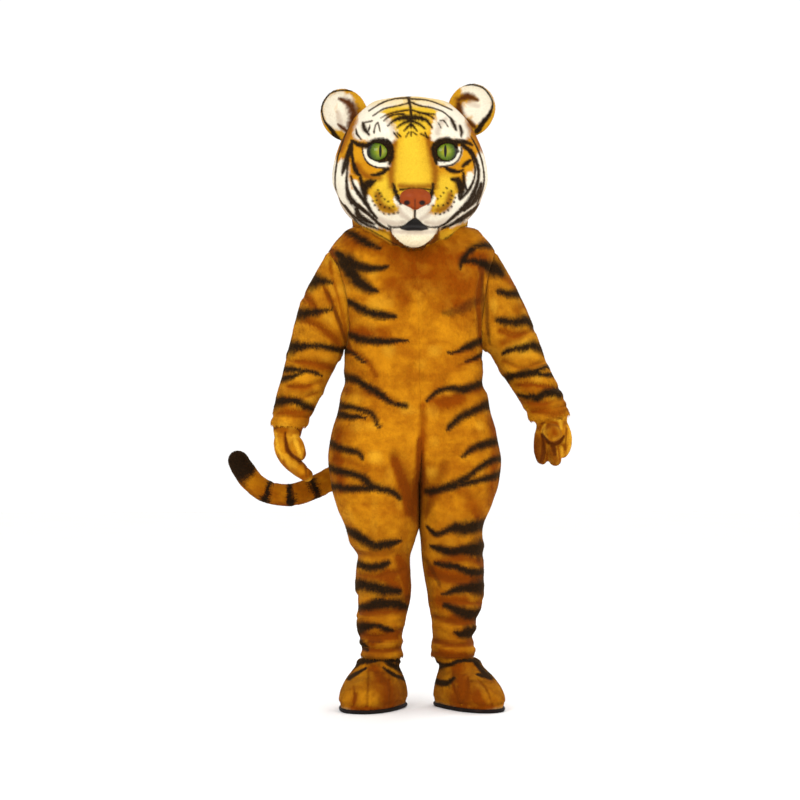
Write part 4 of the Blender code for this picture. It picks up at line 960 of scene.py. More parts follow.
# Head: one plush skin over the shell, from the crown to the rim
headForm = {
    "centre": np.array([-0.0195, -0.020, 0.226]),
    "top": 0.219,
    "rimSide": -0.150,
    "rimJaw": -0.184,
    "rimChin": -0.243,
    "jawReach": 56.0,            # degrees from the face's middle to where the rim under the cheeks ends
    "chinReach": 34.0,
    "wall": 0.009,
    "under": 0.0022,
    "frontColumns": 150,
    "rearColumns": 60,
    "upperRows": 115,            # rows from the crown to the chin's height, and from there to the rim
    "lowerRows": 36,
    "chin": 0.108,               # the chin's height, below the middle
    "hollow": 0.010,             # the mouth's depth
    "wobble": ((0.22, 0.006, 5), (0.12, 0.003, 6)),
    "dome": (0.215, 0.052, 0.004),   # the crown closes above this height, from this width, over this rise
    "coat": {"length": 0.0052, "width": 0.0017, "rise": 7.0, "room": 3.3, "most": 112000},
}
headRows = table("height wide front back", """
    0.2150 0.052 0.046 0.050
    0.2040 0.106 0.092 0.100
    0.1860 0.134 0.118 0.132
    0.1560 0.165 0.156 0.170
    0.1240 0.187 0.178 0.194
    0.0900 0.205 0.191 0.212
    0.0560 0.219 0.197 0.223
    0.0220 0.229 0.198 0.229
    -0.0120 0.234 0.200 0.230
    -0.0460 0.232 0.199 0.227
    -0.0800 0.218 0.195 0.216
    -0.1080 0.208 0.190 0.204
    -0.1300 0.194 0.184 0.188
    -0.1560 0.170 0.174 0.166
    -0.2000 0.128 0.160 0.130
    -0.2400 0.100 0.140 0.100
""")
faceMounds = table("x z wide tall push", """
    0.060 -0.122 0.041 0.040 0.056
    -0.070 -0.122 0.041 0.040 0.056
    -0.003 -0.100 0.040 0.036 0.022
    -0.004 -0.030 0.040 0.052 0.022
    0.086 0.100 0.050 0.028 0.022
    -0.096 0.100 0.050 0.028 0.022
    0.090 0.037 0.036 0.029 -0.026
    -0.101 0.037 0.036 0.029 -0.026
    0.146 -0.055 0.045 0.055 0.012
    -0.154 -0.055 0.045 0.055 0.012
    -0.003 -0.224 0.050 0.024 0.052
    -0.003 -0.181 0.034 0.010 -0.014
""")


def facePush(x, z):              # how far the muzzle, brows, cheeks and chin stand out of the head's round
    push = 0.0
    for atX, atZ, wide, tall, out in zip(*faceMounds.values()):
        dx, dz = (x - atX) / wide, (z - atZ) / tall
        push = push + out * np.exp(-0.5 * (dx * dx + dz * dz))
    return push


def headSurface(height, azimuth, inset=0.0):  # azimuth runs from the face's middle, in radians
    height, azimuth = np.broadcast_arrays(np.asarray(height, float), np.asarray(azimuth, float))
    row = readAt(headRows, "height", height)
    lean = np.maximum(height, 0) / headForm["top"]
    inward = inset * np.sqrt(np.maximum(1 - lean * lean, 0))
    cosine = np.cos(azimuth)
    x = np.sin(azimuth) * (row["wide"] - inward)
    y = -cosine * (np.where(cosine > 0, row["front"], row["back"]) - inward)
    fade = np.clip(cosine / 0.45, 0, 1)
    y = y - np.where(cosine > 0, facePush(x, height) * fade * fade * (3 - 2 * fade), 0)
    return headForm["centre"] + np.stack([x, y, height - inset * lean], axis=-1)


def rimHeight(azimuth):          # the head's lower edge: lower under the cheeks, lowest under the chin
    away = np.degrees(np.arccos(np.cos(azimuth)))
    jaw = soften((headForm["jawReach"] - away) / 24)
    chin = np.sqrt(np.clip(1 - (away / (headForm["chinReach"] - 2))**2, 0, 1))
    return (headForm["rimSide"] + (headForm["rimJaw"] - headForm["rimSide"]) * jaw
            + (headForm["rimChin"] - headForm["rimJaw"]) * chin)


def headAzimuths():              # columns, closer in front than behind
    reach = math.radians(78)
    front = np.linspace(-reach, reach, headForm["frontColumns"] + 1)
    rear = np.linspace(reach, 2 * math.pi - reach, headForm["rearColumns"] + 1)[1:-1]
    return np.concatenate([front, rear])


def closing(height):             # how wide the crown's dome still is: 1 below it, 0 at the top
    start, _, tall = headForm["dome"]
    return np.where(height > start, np.sqrt(np.clip((headForm["top"] - height) / tall, 0, 1)), 1.0)


def headWalk(count):             # heights from the crown to the chin, an equal walk apart
    fine = headForm["top"] - (headForm["top"] + headForm["chin"]) * np.linspace(0.002, 1, 1400)**2
    start, domeWide, _ = headForm["dome"]
    wide = np.where(fine > start, domeWide * closing(fine), readAt(headRows, "height", fine)["wide"])
    return evenWalk(np.hypot(np.diff(fine), np.diff(wide)), fine, count)


def headGrid(inset):
    angles = headAzimuths()
    chin, lower = headForm["chin"], headForm["lowerRows"]
    rows = [np.full(len(angles), h) for h in headWalk(headForm["upperRows"])]
    rows += [-chin + (rimHeight(angles) + chin) * k / lower for k in range(1, lower + 1)]
    heights = np.stack(rows)
    grid = headSurface(heights, angles[None, :], inset)
    centre = headForm["centre"][:2]
    grid[..., :2] = centre + (grid[..., :2] - centre) * closing(heights)[..., None]
    return grid


headStripes = strokes("""
    408.5 96 2.6 410 105 1.8 411 115 1.8 411 128 1.2
    408 98 1.5 395 99 1.0 382 103 1.0 369 111 0.8
    409 103 1.2 398 106 1.0 384 109 1.0 373 116 0.8
    409 110 1.2 397 112 1.1 387 115 1.0 381 118 0.7
    411 99 1.3 425 100 1.0 436 103 1.0 452 110 0.8
    411 102.5 1.5 420 106 1.1 432 108 1.0 443 112 0.9 450 118 0.8
    411 110 1.2 422 113 1.1 435 114.5 0.9
    404 114 1.2 394 115 1.3 387 118 1.2 384 121 0.8
    418 113 1.2 428 115 1.3 434 119 1.0
    411 118 4 403 118 3.6 395 120 2.2 388 126 1.1
    411 118 4 419 118 3.6 427 121 2.2 432 128 1.1
    411 121 2 403 123.5 1.8 397 128 1
    411 121 2 419 124 1.8 425 129 1
    410 125 1.8 404 131 0.9
    412 125 1.8 417 131 0.9
    394 133 1.3 398 137.5 1.2
    397 133 1.0 401 137 0.9
    406 137 0.8 409 132 1
    411 136 0.9 411 132 1
    413 132 1 417 135.5 0.8
    421 134 1.3 428 138 1.3
    425 133 1.1 427 137 1
    363 123 1.6 364.5 129 2.9 369 134.5 1.5
    364 123 1.0 372 121 0.9
    370 126 1.0 368 132 1.2
    374 133 0.8 375 127 0.9 378 123 1 380 131 0.8
    356 129 0.9 357 134 1.4 361 139 1
    450 117 0.9 453 123 2.6 456 130 1.6
    440 121 0.8 444 121 1 448 127 0.7
    438 123 0.8 441 128 0.7
    460 126 1.6 461.5 132 2.2 461 137 0.9
    352 141 1.6 360 145 2.8 368 145.5 3.4 373 143 2.6
    352 143 1 352 150 1.4 353 161 1.8 356 171 2.6 361 176 1.2
    362.5 148 0.8 363.5 155 0.8 368 163 0.9 377 167.5 0.9 389 168.5 1.0
    370 146 2 374 142 2.2 380 140.8 2 387 143 2.4 391.5 149 2.6 392 157 2.2 389.5 164 1.4
    472 145 1.3 464 142 2.6 455 142 3 450 142 2.2
    461.5 149 0.8 460 157 0.9 453 164.5 0.9 440 167 0.9
    454 142 2.2 445 139.8 2 438 141.5 2.4 433.5 147 2.6 434 155 2.2 436.5 164 1.4
    371 175 1.0 380 174 2.2 388 169 2.2
    444 167 1.2 450 170 2.4 457 172 1.8 463 170 0.8
    463 166 1.8 468 162 2.2 471 160 1.0
    462 145 2.4 470 151 2.2 475 159 2.0 478 169 1.8 478 179 1.6 475 190 2.4 470 200 2.8 462 209 2.4,
      454 216 1.8 446 223 1.4 438 227 1.2
    467 150 0.8 472 158 0.8 475 170 0.9 473 182 1.2 467 192 1.6 460 199 1.6
    451 179 1.2 458 181 4 461 189 4.6 460 198 2
    463 173 1.5 464 184 1.8 467 190 0.8
    481 184 2 478 195 3.4 472 203 2.6 464 210 1.8
    479 205 1.6 470 213 2.6 461 219 2.6 452 224 1.6 442 228 1
    471 137 0.8 477 148 0.9 482 162 0.9 484 178 0.9 482 191 0.9 477 204 0.8
    352 120 0.9 347 131 0.9 342 144 0.9 338 156 0.8
    338 156 0.8 335.5 174 0.9 335.5 186 0.9 338 197 0.9 345 207 0.9 352 216 0.9 361 226 0.9
    352 143 2.0 349 153 2.8 346 163 3.2 343.5 171 1.8 342 175 0.7
    349 155 1.1 347 175 1.2 347 187 1.6 349 196 2.8 353 202 3.2 358 206 2.6 365 211 2.2 371 216 1.8,
      377 222 1.8 384 227 1.3 391 229 1
    351 176 1.0 354 186 1.5 360 195 2.2 366 203 2.4 371 211 1.8 377 218 1.4
    357 209 2.6 359 216 3.2 366 220 2.6 374 224 1.2
    345 205 0.9 352 214 1.1 362 222 1.3 373 227 1.3 384 231 1.2 392 236 0.9
    376 181 1.4 368 184 4.6 364.5 190 4.2 365.5 199 2
    361 178 2 362 186 2 364 194 1.4
    393.5 184 1.4 395 190 2.2 398 197 2.6 401 203 1.6
    433 184 1.4 432 190 2.2 430 197 2.6 427.5 203 1.6
    400 189.5 1 415 188.5 1 430 189.5 1
    415 209 0.9 415 219 1.1
    414 219 1.3 409 224 1.3 403 226.5 1.1 394 227 1 388 225.5 0.8
    416 219 1.3 421 224 1.3 427 226.5 1 436 227 1 443 225 0.8
    391 228 0.9 391 234 0.8 395 241 0.6
    438 228 0.9 438 234 0.8 434 241 0.6
""")
headCream = strokes("""
    362 119 4 367 111 4 375 103.5 4 386 97 3.6 396 93.5 3
    430 93 3 440 97 3.6 450 104 4 457 112 4
    359 134 6 367 129 12 378 128 14 385 133 11 391 140 4
    364 118 6 374 116 5 383 117 4
    464 134 6 457 129 12 447 126 13 441 130 9 434 139 3
    460 119 6 450 116 6 441 115 5
    401 101.5 2.6 388 104.5 3.6 374 111.5 3.8 361 121 3
    418 103 2.6 432 105 3.6 446 110.5 3.8 459 119 3
    366 150 3 368 158 3.4 377 164 3.4 388 164.5 3.2
    459 150 3 456.5 158 3.4 448 163 3.4 439 163 3
    341 166 8 340 180 10 344 198 10 356 214 9 374 226 5
    353 192 3 358 201 3
    481 158 5 481 176 8 476 195 9 465 210 9 452 221 6
    355 184 4 361 197 4 366 206 4
    470 176 4 468 190 4 460 203 5
    368 199 4 371 209 6 380 219 7 394 222 8 406 217 8 404 206 6 398 199 4
    459 197 4 456 208 6 447 218 7 433 222 8 421 217 8 425 206 6 432 199 4
    398 236 9 415 238 12 431 236 9
    396 244 6 415 246 7 433 244 6
""")
headGold = strokes("""
    411 141 12 411 158 17 412 174 20 414 184 18
    411 130 12 402 124 12 420 124 12
    383 186 11 384 198 11 391 207 7
    446 186 11 446 197 10 439 207 7
    369 118 3 380 112 4 400 107 4 420 109 4 440 113 4
""")
# rust colour: painted shade beside the nose's bridge, above the nose and under the muzzle's puffs, and rust
# under the eyes and at the temples
headRustAndShade = strokes("""
    395 143 2.5 393 158 3.2 391 174 3.6 392 186 3.4
    428 139 2.5 432 158 3.2 435 172 3.6 434 186 3.4
    400 186 2.6 414 187 3.0 430 186 2.6
    378 194 3 382 206 4 392 210 3.4
    450 194 3 447 206 4 438 210 3.4
    356 165 3 366 176 3.4 380 178 3
    352 122 4 345 138 4 341 150 3
    470 125 4 478 138 4 482 150 3
""")
headBeige = strokes("""
    374 216 2 383 221 3 394 224 3 404 222 2
    456 216 2 447 221 3 436 224 3 426 222 2
    394 244 2 405 247.5 2.6 415 248.5 3 426 247.5 2.6 436 243 2
    392 231 2 403 231.5 2 415 232 2.4 428 231.5 2 438 231 2
    343 205 3 350 214 3 359 222 3
    484 196 2 478 206 3 470 214 3
    386 120 2 392 126 3 394 134 3
    446 119 2 440 125 3 437 133 3
    398 205 2 402 214 2.6 409 219 2
    432 205 2 428 214 2.6 421 219 2
    352 128 2 356 141 2 362 145 2
    470 128 2 468 139 2
""")                             # faint beige shading over the white parts
eyeSurround = strokes("""
    369 149 1.3 371 144.5 2.4 376 141.3 3.0 383 140.6 3.0 389 143.5 2.8 392 149 2.4 391.5 156 2.0,
      388 160.5 1.4
    371 156 1.0 375 160 1.2 381 162 1.1 387 161 1.0
    369 151 1.6 371.5 154.5 1.6
    457 149 1.2 455 144.5 2.4 450.5 141.3 3.0 443 140.6 3.0 437 143.5 2.8 434 149 2.4 434.5 156 2.0,
      438 160.5 1.4
    455 156 1.0 451 160 1.2 445 161.5 1.1 439 161 1.0
    458 151 1.4 455 154.5 1.4
""")
irisSpots = {"right": (380.4, 151.0), "left": (445.4, 151.0)}   # middles in plan steps
mouthEdge = np.array([(0.006, -0.161), (0.014, -0.166), (0.024, -0.175), (0.038, -0.184), (0.040, -0.188),
                      (0.020, -0.193), (-0.020, -0.193), (-0.040, -0.188), (-0.038, -0.184), (-0.024, -0.175),
                      (-0.014, -0.166), (-0.006, -0.161)])


def insideEdge(x, z, edge):      # signed room to a closed outline: positive inside
    inside = np.zeros(x.shape, bool)
    room = np.full(x.shape, 1.0)
    for (ax, az), (bx, bz) in zip(edge, np.roll(edge, -1, axis=0)):
        crosses = ((az > z) != (bz > z)) & (x < (bx - ax) * (z - az) / (bz - az + 1e-12) + ax)
        inside ^= crosses
        t = np.clip(((x - ax) * (bx - ax) + (z - az) * (bz - az)) / ((bx - ax)**2 + (bz - az)**2), 0, 1)
        room = np.minimum(room, np.hypot(x - ax - t * (bx - ax), z - az - t * (bz - az)))
    return np.where(inside, room, -room)


crownBands = strokes("""
    0 -30 3 1 20 4 -1 70 3
    3 4 3 28 18 6 60 16 6 92 -6 3
    -3 8 3 -30 22 6 -62 19 6 -94 0 3
    3 52 4 34 66 6 70 60 6 96 40 3
    -3 48 4 -34 64 6 -70 62 6 -98 44 3
""")                             # bands over the crown: across, rearwards and half width in mm
rearBands = strokes("""
    0 160 11 34 150 10 66 165 4
    0 160 11 -34 150 10 -66 165 4
    8 112 5 40 104 9 76 116 6 92 128 2
    -8 116 5 -40 108 9 -76 118 6 -92 130 2
    4 62 4 30 54 8 70 62 7 96 78 2
    -4 58 4 -30 52 8 -70 60 7 -96 74 2
    12 14 4 44 4 8 80 10 6 98 22 2
    -12 10 4 -44 2 8 -80 8 6 -98 20 2
    6 -38 4 36 -50 7 74 -48 6 96 -36 2
    -6 -40 4 -36 -52 7 -74 -50 6 -96 -38 2
    10 -92 4 42 -102 7 78 -100 5 94 -92 2
    -10 -94 4 -42 -104 7 -78 -102 5 -94 -92 2
""")                             # bands behind: degrees from the back's middle, height and half width in mm


def paintHead(points, normals):
    facing = normals @ towardsCamera
    front = facing > -0.32
    spots = planOf(points)
    wobble = lumpy(points, headForm["wobble"])
    finer = wobble - 0.22 * (spots[:, 1] < 139)                     # the forehead's lines are thin
    local = points - headForm["centre"]
    cosine = -local[:, 1] / np.maximum(np.hypot(local[:, 0], local[:, 1]), 1e-6)
    azimuth = np.degrees(np.arccos(np.clip(cosine, -1, 1)))         # from the face's middle
    drift = 9 * lumps(points, 0.045, 14) * soften((azimuth - 64) / 14)
    ragged = spots + np.stack([0 * drift, drift], axis=1)
    masks = {
        "stripe": layStrokes(spots, headStripes, 0.9, finer),
        "cream": layStrokes(ragged, headCream, 0.6, wobble),
        "gold": layStrokes(spots, headGold, 1.5),
        # rust colour, partly painted shade round the nose and under the muzzle
        "rust": np.maximum(0.85 * layStrokes(spots, headRustAndShade, 2.0, wobble),
                           0.40 * layStrokes(spots, headStripes, 2.6, wobble)),
    }

    def cover(key, mask):
        masks[key] = np.maximum(masks[key], mask)

    cover("rust", 0.34 * layStrokes(spots, headBeige, 1.8, wobble))
    chin = soften((spots[:, 1] - 230) / 8) * (np.abs(spots[:, 0] - faceColumn) < 28)  # dyed a warmer cream
    masks["cream"] *= 1 - 0.26 * chin
    cover("gold", chin)
    crown = front * soften((110 - spots[:, 1]) / 8)                 # and the brow's top fades to gold
    masks["cream"] *= 1 - 0.40 * crown
    cover("cream", 0.40 * crown)
    cover("gold", crown)
    for spot in whiskerSpots:
        cover("stripe", 0.9 * soften((1.6 - np.hypot(*(spots - spot).T)) / 0.8))
    cover("stripe", layStrokes(spots, eyeSurround, 0.7, wobble))
    for spot in irisSpots.values():                                 # black lids right round each eye
        cover("stripe", soften((11.4 - np.hypot(*(spots - spot).T)) / 1.0))
    room = insideEdge(local[:, 0], local[:, 2], mouthEdge)
    nearMouth = front & (local[:, 1] < -0.1)
    cover("stripe", np.where(nearMouth, soften((room + 0.0025) / 0.0025), 0))
    # behind, the plan doesn't hold: bands go by the way round and the height, or from above
    about = np.degrees(np.arctan2(local[:, 0], local[:, 1])) + 5 * lumps(points, 0.05, 11)
    high = local[:, 2] * 1000 + 7 * lumps(points, 0.07, 12)
    wider = [(lead, p * (2.0, 1.0, 1.0)) for lead, p in rearBands]
    bands = layStrokes(np.stack([about * 2.0, high], axis=1), wider, 0.6, wobble)
    bands = np.maximum(bands, layStrokes(local[:, :2] * 1000, crownBands, 0.6, wobble)
                       * soften((local[:, 2] - 0.150) / 0.012))
    behind = soften((azimuth - 92 - 8 * lumps(points, 0.035, 13)) / 9)
    masks["stripe"] = np.where(facing > -0.05, masks["stripe"] * soften((90 - azimuth) / 6), 0)
    cover("stripe", bands * behind)
    for key in ("cream", "gold"):
        masks[key] = np.where(front, masks[key], 0) * (1 - behind)
    dark = behind * (0.28 + 0.2 * lumps(points, 0.05, 9))
    masks["rust"] = np.clip(np.where(front, masks["rust"], 0) + dark, 0, 1)
    return masks


whiskerSpots = np.array([
    (378.5, 190), (380, 193), (382, 196), (385, 199), (388.5, 201),
    (376, 196), (377, 200), (380.5, 204.5), (385, 207), (389.5, 208), (393.5, 206.5),
    (373, 201), (375, 205), (379, 210), (384, 213.5), (389, 214), (394, 213.5), (398, 212.5),
    (446.5, 188), (443.5, 192.5), (440.5, 196), (437.5, 198.5),
    (451.5, 191), (452, 195.5), (450.5, 199.5), (447.5, 203), (443, 205), (438, 205.5), (433, 205.5),
    (455, 197.5), (454, 202), (451.5, 206.5), (448, 210), (444, 212.5), (440, 214), (435.5, 213.5)])


def awayFromNose(root, normal):  # the face's pile is brushed back from the nose
    away = unit(root - (headForm["centre"] + (0, -0.24, -0.06)))
    away[:, 1] *= 0.3
    behind = soften((root[:, 1] - headForm["centre"][1]) / 0.1)[:, None]
    return away * (1 - behind) + np.array([0, 0, -1.0]) * behind


def addHead():
    outer, inner = headGrid(headForm["under"]), headGrid(headForm["under"] + headForm["wall"])
    centre = headForm["centre"]
    normals = outwardNormals(outer, centre)
    local = outer - centre
    room = insideEdge(local[..., 0], local[..., 2], mouthEdge)
    atMouth = (local[..., 1] < -0.1) * soften((room + 0.001) / 0.004)   # the mouth's hollow
    inwards = np.array([0, 1.0, 0]) * (headForm["hollow"] * atMouth)[..., None]
    inner = inner + inwards
    outer = outer + normals * (0.0006 * lumps(outer, 0.04, 2))[..., None] + inwards
    finishCloth("headCover", "head_shell", outer, inner, outwardNormals(outer, centre),
                paintHead, headForm["coat"], awayFromNose, 51, facePlush)


addHead()
print("head ready")


def tubeMesh(name, grid, smooth=True):  # a closed solid of rings, with both ends capped
    rows, columns = grid.shape[:2]
    faces = gridQuads(rows, columns, True).tolist()
    faces += [list(range(columns)), [(rows - 1) * columns + k for k in range(columns)][::-1]]
    return meshFrom(name, grid.reshape(-1, 3), faces, smooth)


def worked(mesh, *steps):        # the mesh after modifiers; each step is a kind and its settings
    holder = bpy.data.objects.new("worked", mesh)
    bpy.context.scene.collection.objects.link(holder)
    for kind, settings in steps:
        modifier = holder.modifiers.new(kind, kind)
        for key, value in settings.items():
            setattr(modifier, key, value)
    graph = bpy.context.evaluated_depsgraph_get()
    made = bpy.data.meshes.new_from_object(holder.evaluated_get(graph))
    bpy.data.objects.remove(holder)
    made.shade_smooth()
    return made


def readMesh(mesh):              # its points, point normals and triangles
    mesh.calc_loop_triangles()
    verts, normals = np.empty(len(mesh.vertices) * 3), np.empty(len(mesh.vertices) * 3)
    tris = np.empty(len(mesh.loop_triangles) * 3, np.int32)
    mesh.vertices.foreach_get("co", verts)
    mesh.vertex_normals.foreach_get("vector", normals)
    mesh.loop_triangles.foreach_get("vertices", tris)
    return verts.reshape(-1, 3), normals.reshape(-1, 3), tris.reshape(-1, 3)


def spinAxis(points):            # frames along a middle line: its direction, upwards and aside
    along = unit(np.gradient(points, axis=0))
    up = unit(np.array([0.0, 0.0, 1.0]) - along * along[:, 2:3])
    return along, up, np.cross(along, up)


# Feet: covers whose ankles tuck under the legs' hems, on flat rubber soles
foot = {
    "under": 0.0020,
    "wall": 0.0038,
    "tuck": 0.0080,              # the ankle lies this far inside the leg's pile
    "round": 120,
    "rows": 66,
    "ankle": {"right": -0.117, "left": 0.138},
    "long": {"right": 1.00, "left": 1.02},
    "broad": {"right": 1.00, "left": 0.94},
    "splay": 18.0,
    "soleThick": 0.022,
    "soleProfile": (             # rings from the top down: share of the thickness, and growth past the foot
        (1.0, -0.0070), (0.60, -0.0066), (0.53, -0.0030), (0.51, 0.0010), (0.48, 0.0024), (0.42, 0.0034),
        (0.32, 0.0036), (0.22, 0.0032), (0.08, 0.0014), (0.02, -0.0020), (0.0, -0.0060)),
    "lumps": ((0.0012, 0.045, 5), (0.0006, 0.02, 6)),
    "swells": ((0.0018, 0.030, 0.010), (0.0065, 0.134, 0.009)),  # over the sole and below the leg's hem
    "seed": {"right": 63, "left": 62},
    "coat": {"length": 0.0065, "width": 0.0021, "rise": 7.0, "room": 4.2, "most": 30000},
}
footRows = table("height toe heel wide own", """
    0.0120 0.222 0.086 0.090 1.0
    0.0240 0.222 0.086 0.090 1.0
    0.0380 0.226 0.090 0.094 1.0
    0.0600 0.208 0.090 0.092 1.0
    0.0860 0.164 0.088 0.084 1.0
    0.1100 0.118 0.088 0.073 0.9
    0.1320 0.092 0.088 0.064 0.6
    0.1500 0.080 0.085 0.058 0.0
    0.1720 0.080 0.085 0.058 0.0
""")


def footRing(name, heights, inset):  # rings of the foot's form, passing into the leg's at the ankle
    side, turned = sides[name], math.radians(foot["splay"]) * sides[name]
    row = readAt(footRows, "height", heights[:, None])
    place = np.arange(foot["round"]) / foot["round"]
    angle = 2 * math.pi * place
    sine, cosine = np.sin(angle), np.cos(angle)
    reach = np.where(sine > 0, row["toe"], row["heel"])
    along = np.sign(sine) * np.abs(sine)**0.9 * (reach * foot["long"][name] - inset)
    across = -np.sign(cosine) * np.abs(cosine)**0.9 * (row["wide"] * foot["broad"][name] - inset)
    across = across * side * np.where(sine > 0, 1 + 0.06 * sine, 1 + 0.20 * sine)
    own = np.stack([foot["ankle"][name] + across * math.cos(turned) + along * math.sin(turned),
                    0.005 - along * math.cos(turned) + across * math.sin(turned),
                    np.broadcast_to(heights[:, None] - shoulder, across.shape)], axis=-1)
    legPlace = np.where((place > 0.4999) & (place < 0.5001), 0.5, place)
    legHeight = np.maximum(heights[:, None], suit["hem"])
    leg = suitSurface(name, legHeight, legPlace, inset + foot["tuck"], seam=0.0)
    leg[..., 2] = own[..., 2]
    return own * row["own"][..., None] + leg * (1 - row["own"][..., None])


footStripes = strokes("""
    394 664 1.2 400 668 1.6 405 673 1.2
    432 677 1.4 438 682 2.2 447 683 2.0 454 678 1.2
    474 660 1.6 480 667 2 486 675 2 491 678 1.4
    432 659 0.9 440 663 0.9
    352 667 2 362 661 2 372 660 2 382 659 1.6 388 662 2 396 667 2 407 672 2
    386 659 2 396 660 2 406 662 2.5
    349 678 1.5 357 673 1.3 366 668 0.8
    383 667 0.8 390 672 1.3 397 676 1.3 407 679 1.5
    428 671 2 440 666 2 450 664 1.5 458 661 1.3 468 660 1.3 479 661 1.5
    477 674 1 484 675 2 492 671 2.2
""")
footRust = strokes("""
    374 668 4 384 682 9 390 700 11
    356 694 2 354 702 2
    458 668 6 462 682 9 462 702 11
    476 696 6 482 704 4
    352 708 3 380 710 4 406 708 3
    436 708 3 460 710 4 492 707 3
""")
footFolds = strokes("""
    -3 354 686 1.3 355 696 1.3 353 707 1.3
    -3 369 668 1.3 368 686 1.3 367 707 1.3
    -3 389 680 1.3 390 694 1.3 389 707 1.3
    2.5 361 680 4 360 695 4 360 705 4
    2.5 378 676 5 378 692 5 378 705 5
    -3 461 706 1.3 456 694 1.3 451 680 1.3
    -3 461 706 1.3 466 694 1.3 468 678 1.3
    -3 477 679 1.3 485 687 1.3 491 700 1.3 492 708 1.3
    2.5 474 680 4 478 694 4 480 705 4
    2.5 444 686 5 447 698 5 450 706 4
""", 1)


footPaint = {False: (footStripes, [], footRust, footFolds),
             True: (roundTheBack(footStripes, 61, 2.0), [], [], [])}


def paintFoot(points, normals):  # a paler worn edge runs round just above the sole
    masks = paintRound(points, normals, footPaint)
    masks["cream"] = 0.42 * soften((0.0175 - points[:, 2] - shoulder) / 0.003)
    return masks


def addFoot(name):
    heights = np.linspace(footRows["height"][-1], footRows["height"][0] + 0.0002, 400)
    rough = footRing(name, heights, foot["under"])
    heights = evenWalk(np.linalg.norm(np.diff(rough, axis=0), axis=2).max(axis=1), heights, foot["rows"] + 1)
    outer = footRing(name, heights, foot["under"])
    middle = outer.mean(axis=1, keepdims=True)
    normals = outwardNormals(outer, middle)
    rise = foldsOn(outer, footPaint, facesBack(normals.reshape(-1, 3)))
    rise += lumpy(outer, foot["lumps"])
    heights = heights[:, None]
    still = soften((0.155 - heights) / 0.02)
    plump = sum(out * np.exp(-((heights - at) / reach)**2) for out, at, reach in foot["swells"])
    rise = rise * still * soften((heights - 0.0125) / 0.006) + plump
    outer = outer + normals * rise[..., None]
    normals = outwardNormals(outer, middle)
    splay = math.radians(foot["splay"])
    toes = np.array([math.sin(splay) * sides[name], -math.cos(splay), 0.0])
    flow = toes * 0.7 + (0, 0, -0.7)
    finishCloth("foot" + name.capitalize(), "foot_" + name, outer,
                outer - normals * foot["wall"], normals, paintFoot, foot["coat"],
                lambda root, normal: np.tile(flow, (len(root), 1)), foot["seed"][name],
                rise=rise)


def soleMaterial():
    # moulded foam rubber, near black brown: matt, with fine pitting and paler scuffs
    made, tree, shader, place = newMaterial("foamRubberSole", {"Roughness": 0.85, "IOR": 1.5,
                                                               "Specular IOR Level": 0.12})
    pits = addNode(tree, "TexNoise", {"Vector": place, "Scale": 700.0, "Detail": 2.0})     # 1.5 mm
    scuff = addNode(tree, "TexNoise", {"Vector": place, "Scale": 45.0, "Detail": 5.0, "Roughness": 0.7})
    worn = addNode(tree, "MapRange", {"Value": scuff, "From Min": 0.52, "From Max": 0.72})
    tone = addNode(tree, "MixRGB", {"Fac": worn, "Color1": "#150E0C", "Color2": "#2C201B"})
    rough = addNode(tree, "MapRange", {"Value": scuff, "To Min": 0.66, "To Max": 0.9})
    finishSurface(tree, shader, tone, pits, 0.4, 0.0006, Roughness=rough)
    return made


def addSole(name, material):
    rings = []
    for share, grow in foot["soleProfile"]:
        ring = footRing(name, footRows["height"][:1], -grow)[0]
        ring[:, 2] = foot["soleThick"] * share - shoulder
        rings.append(ring)
    label = "sole" + name.capitalize()
    sole = addObject(label, tubeMesh(label, np.stack(rings)), material)
    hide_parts("sole_" + name)


rubber = soleMaterial()
for name in sides:
    addFoot(name)
    addSole(name, rubber)
print("feet ready")


# Gloves: palm, thumb and fingers blown together into one skin, open at the wrist
glove = {
    "under": 0.0018,
    "voxel": 0.0036,
    "wall": 0.0030,
    "clear": 0.0076,             # room to the sleeve's hem
    "cloth": {"right": 0.070, "left": 0.060},   # square metres cut for each
    "seed": {"right": 72, "left": 71},
    "coat": {"length": 0.0048, "width": 0.0018, "rise": 7.0, "room": 3.2, "most": 20000},
}
gloveFingers = {                 # three places along each, and the radius there, from the hem's middle
    "right": np.array([
        (-0.012, -0.030, -0.030, 0.026, -0.006, -0.030, -0.085, 0.027, 0.048, -0.022, -0.143, 0.021),
        (-0.014, 0.004, -0.030, 0.026, -0.008, 0.006, -0.088, 0.027, 0.055, 0.010, -0.148, 0.021),
        (-0.012, 0.034, -0.030, 0.025, -0.004, 0.038, -0.080, 0.025, 0.040, 0.038, -0.130, 0.020),
        (0.012, -0.020, -0.034, 0.020, 0.025, -0.054, -0.062, 0.024, 0.031, -0.056, -0.084, 0.021)]),
    "left": np.array([
        (-0.022, 0.000, -0.030, 0.021, -0.031, -0.004, -0.084, 0.021, -0.026, -0.020, -0.122, 0.019),
        (0.000, -0.004, -0.040, 0.023, 0.008, -0.012, -0.090, 0.023, 0.012, -0.030, -0.124, 0.021),
        (0.034, 0.004, -0.024, 0.024, 0.045, 0.000, -0.066, 0.024, 0.035, -0.016, -0.100, 0.021),
        (-0.002, -0.016, -0.038, 0.024, -0.001, -0.046, -0.043, 0.030, 0.001, -0.066, -0.046, 0.027)]),
}
glovePalms = {                   # middle from the hem's middle, half width and half depth
    "right": np.array([(-0.002, -0.002, -0.020, 0.043, 0.050), (-0.004, 0.000, -0.046, 0.036, 0.050),
                       (-0.006, 0.002, -0.070, 0.026, 0.038)]),
    "left": np.array([(0.004, -0.002, -0.018, 0.048, 0.048), (0.006, 0.000, -0.044, 0.048, 0.044),
                      (0.006, 0.000, -0.066, 0.034, 0.028)]),
}


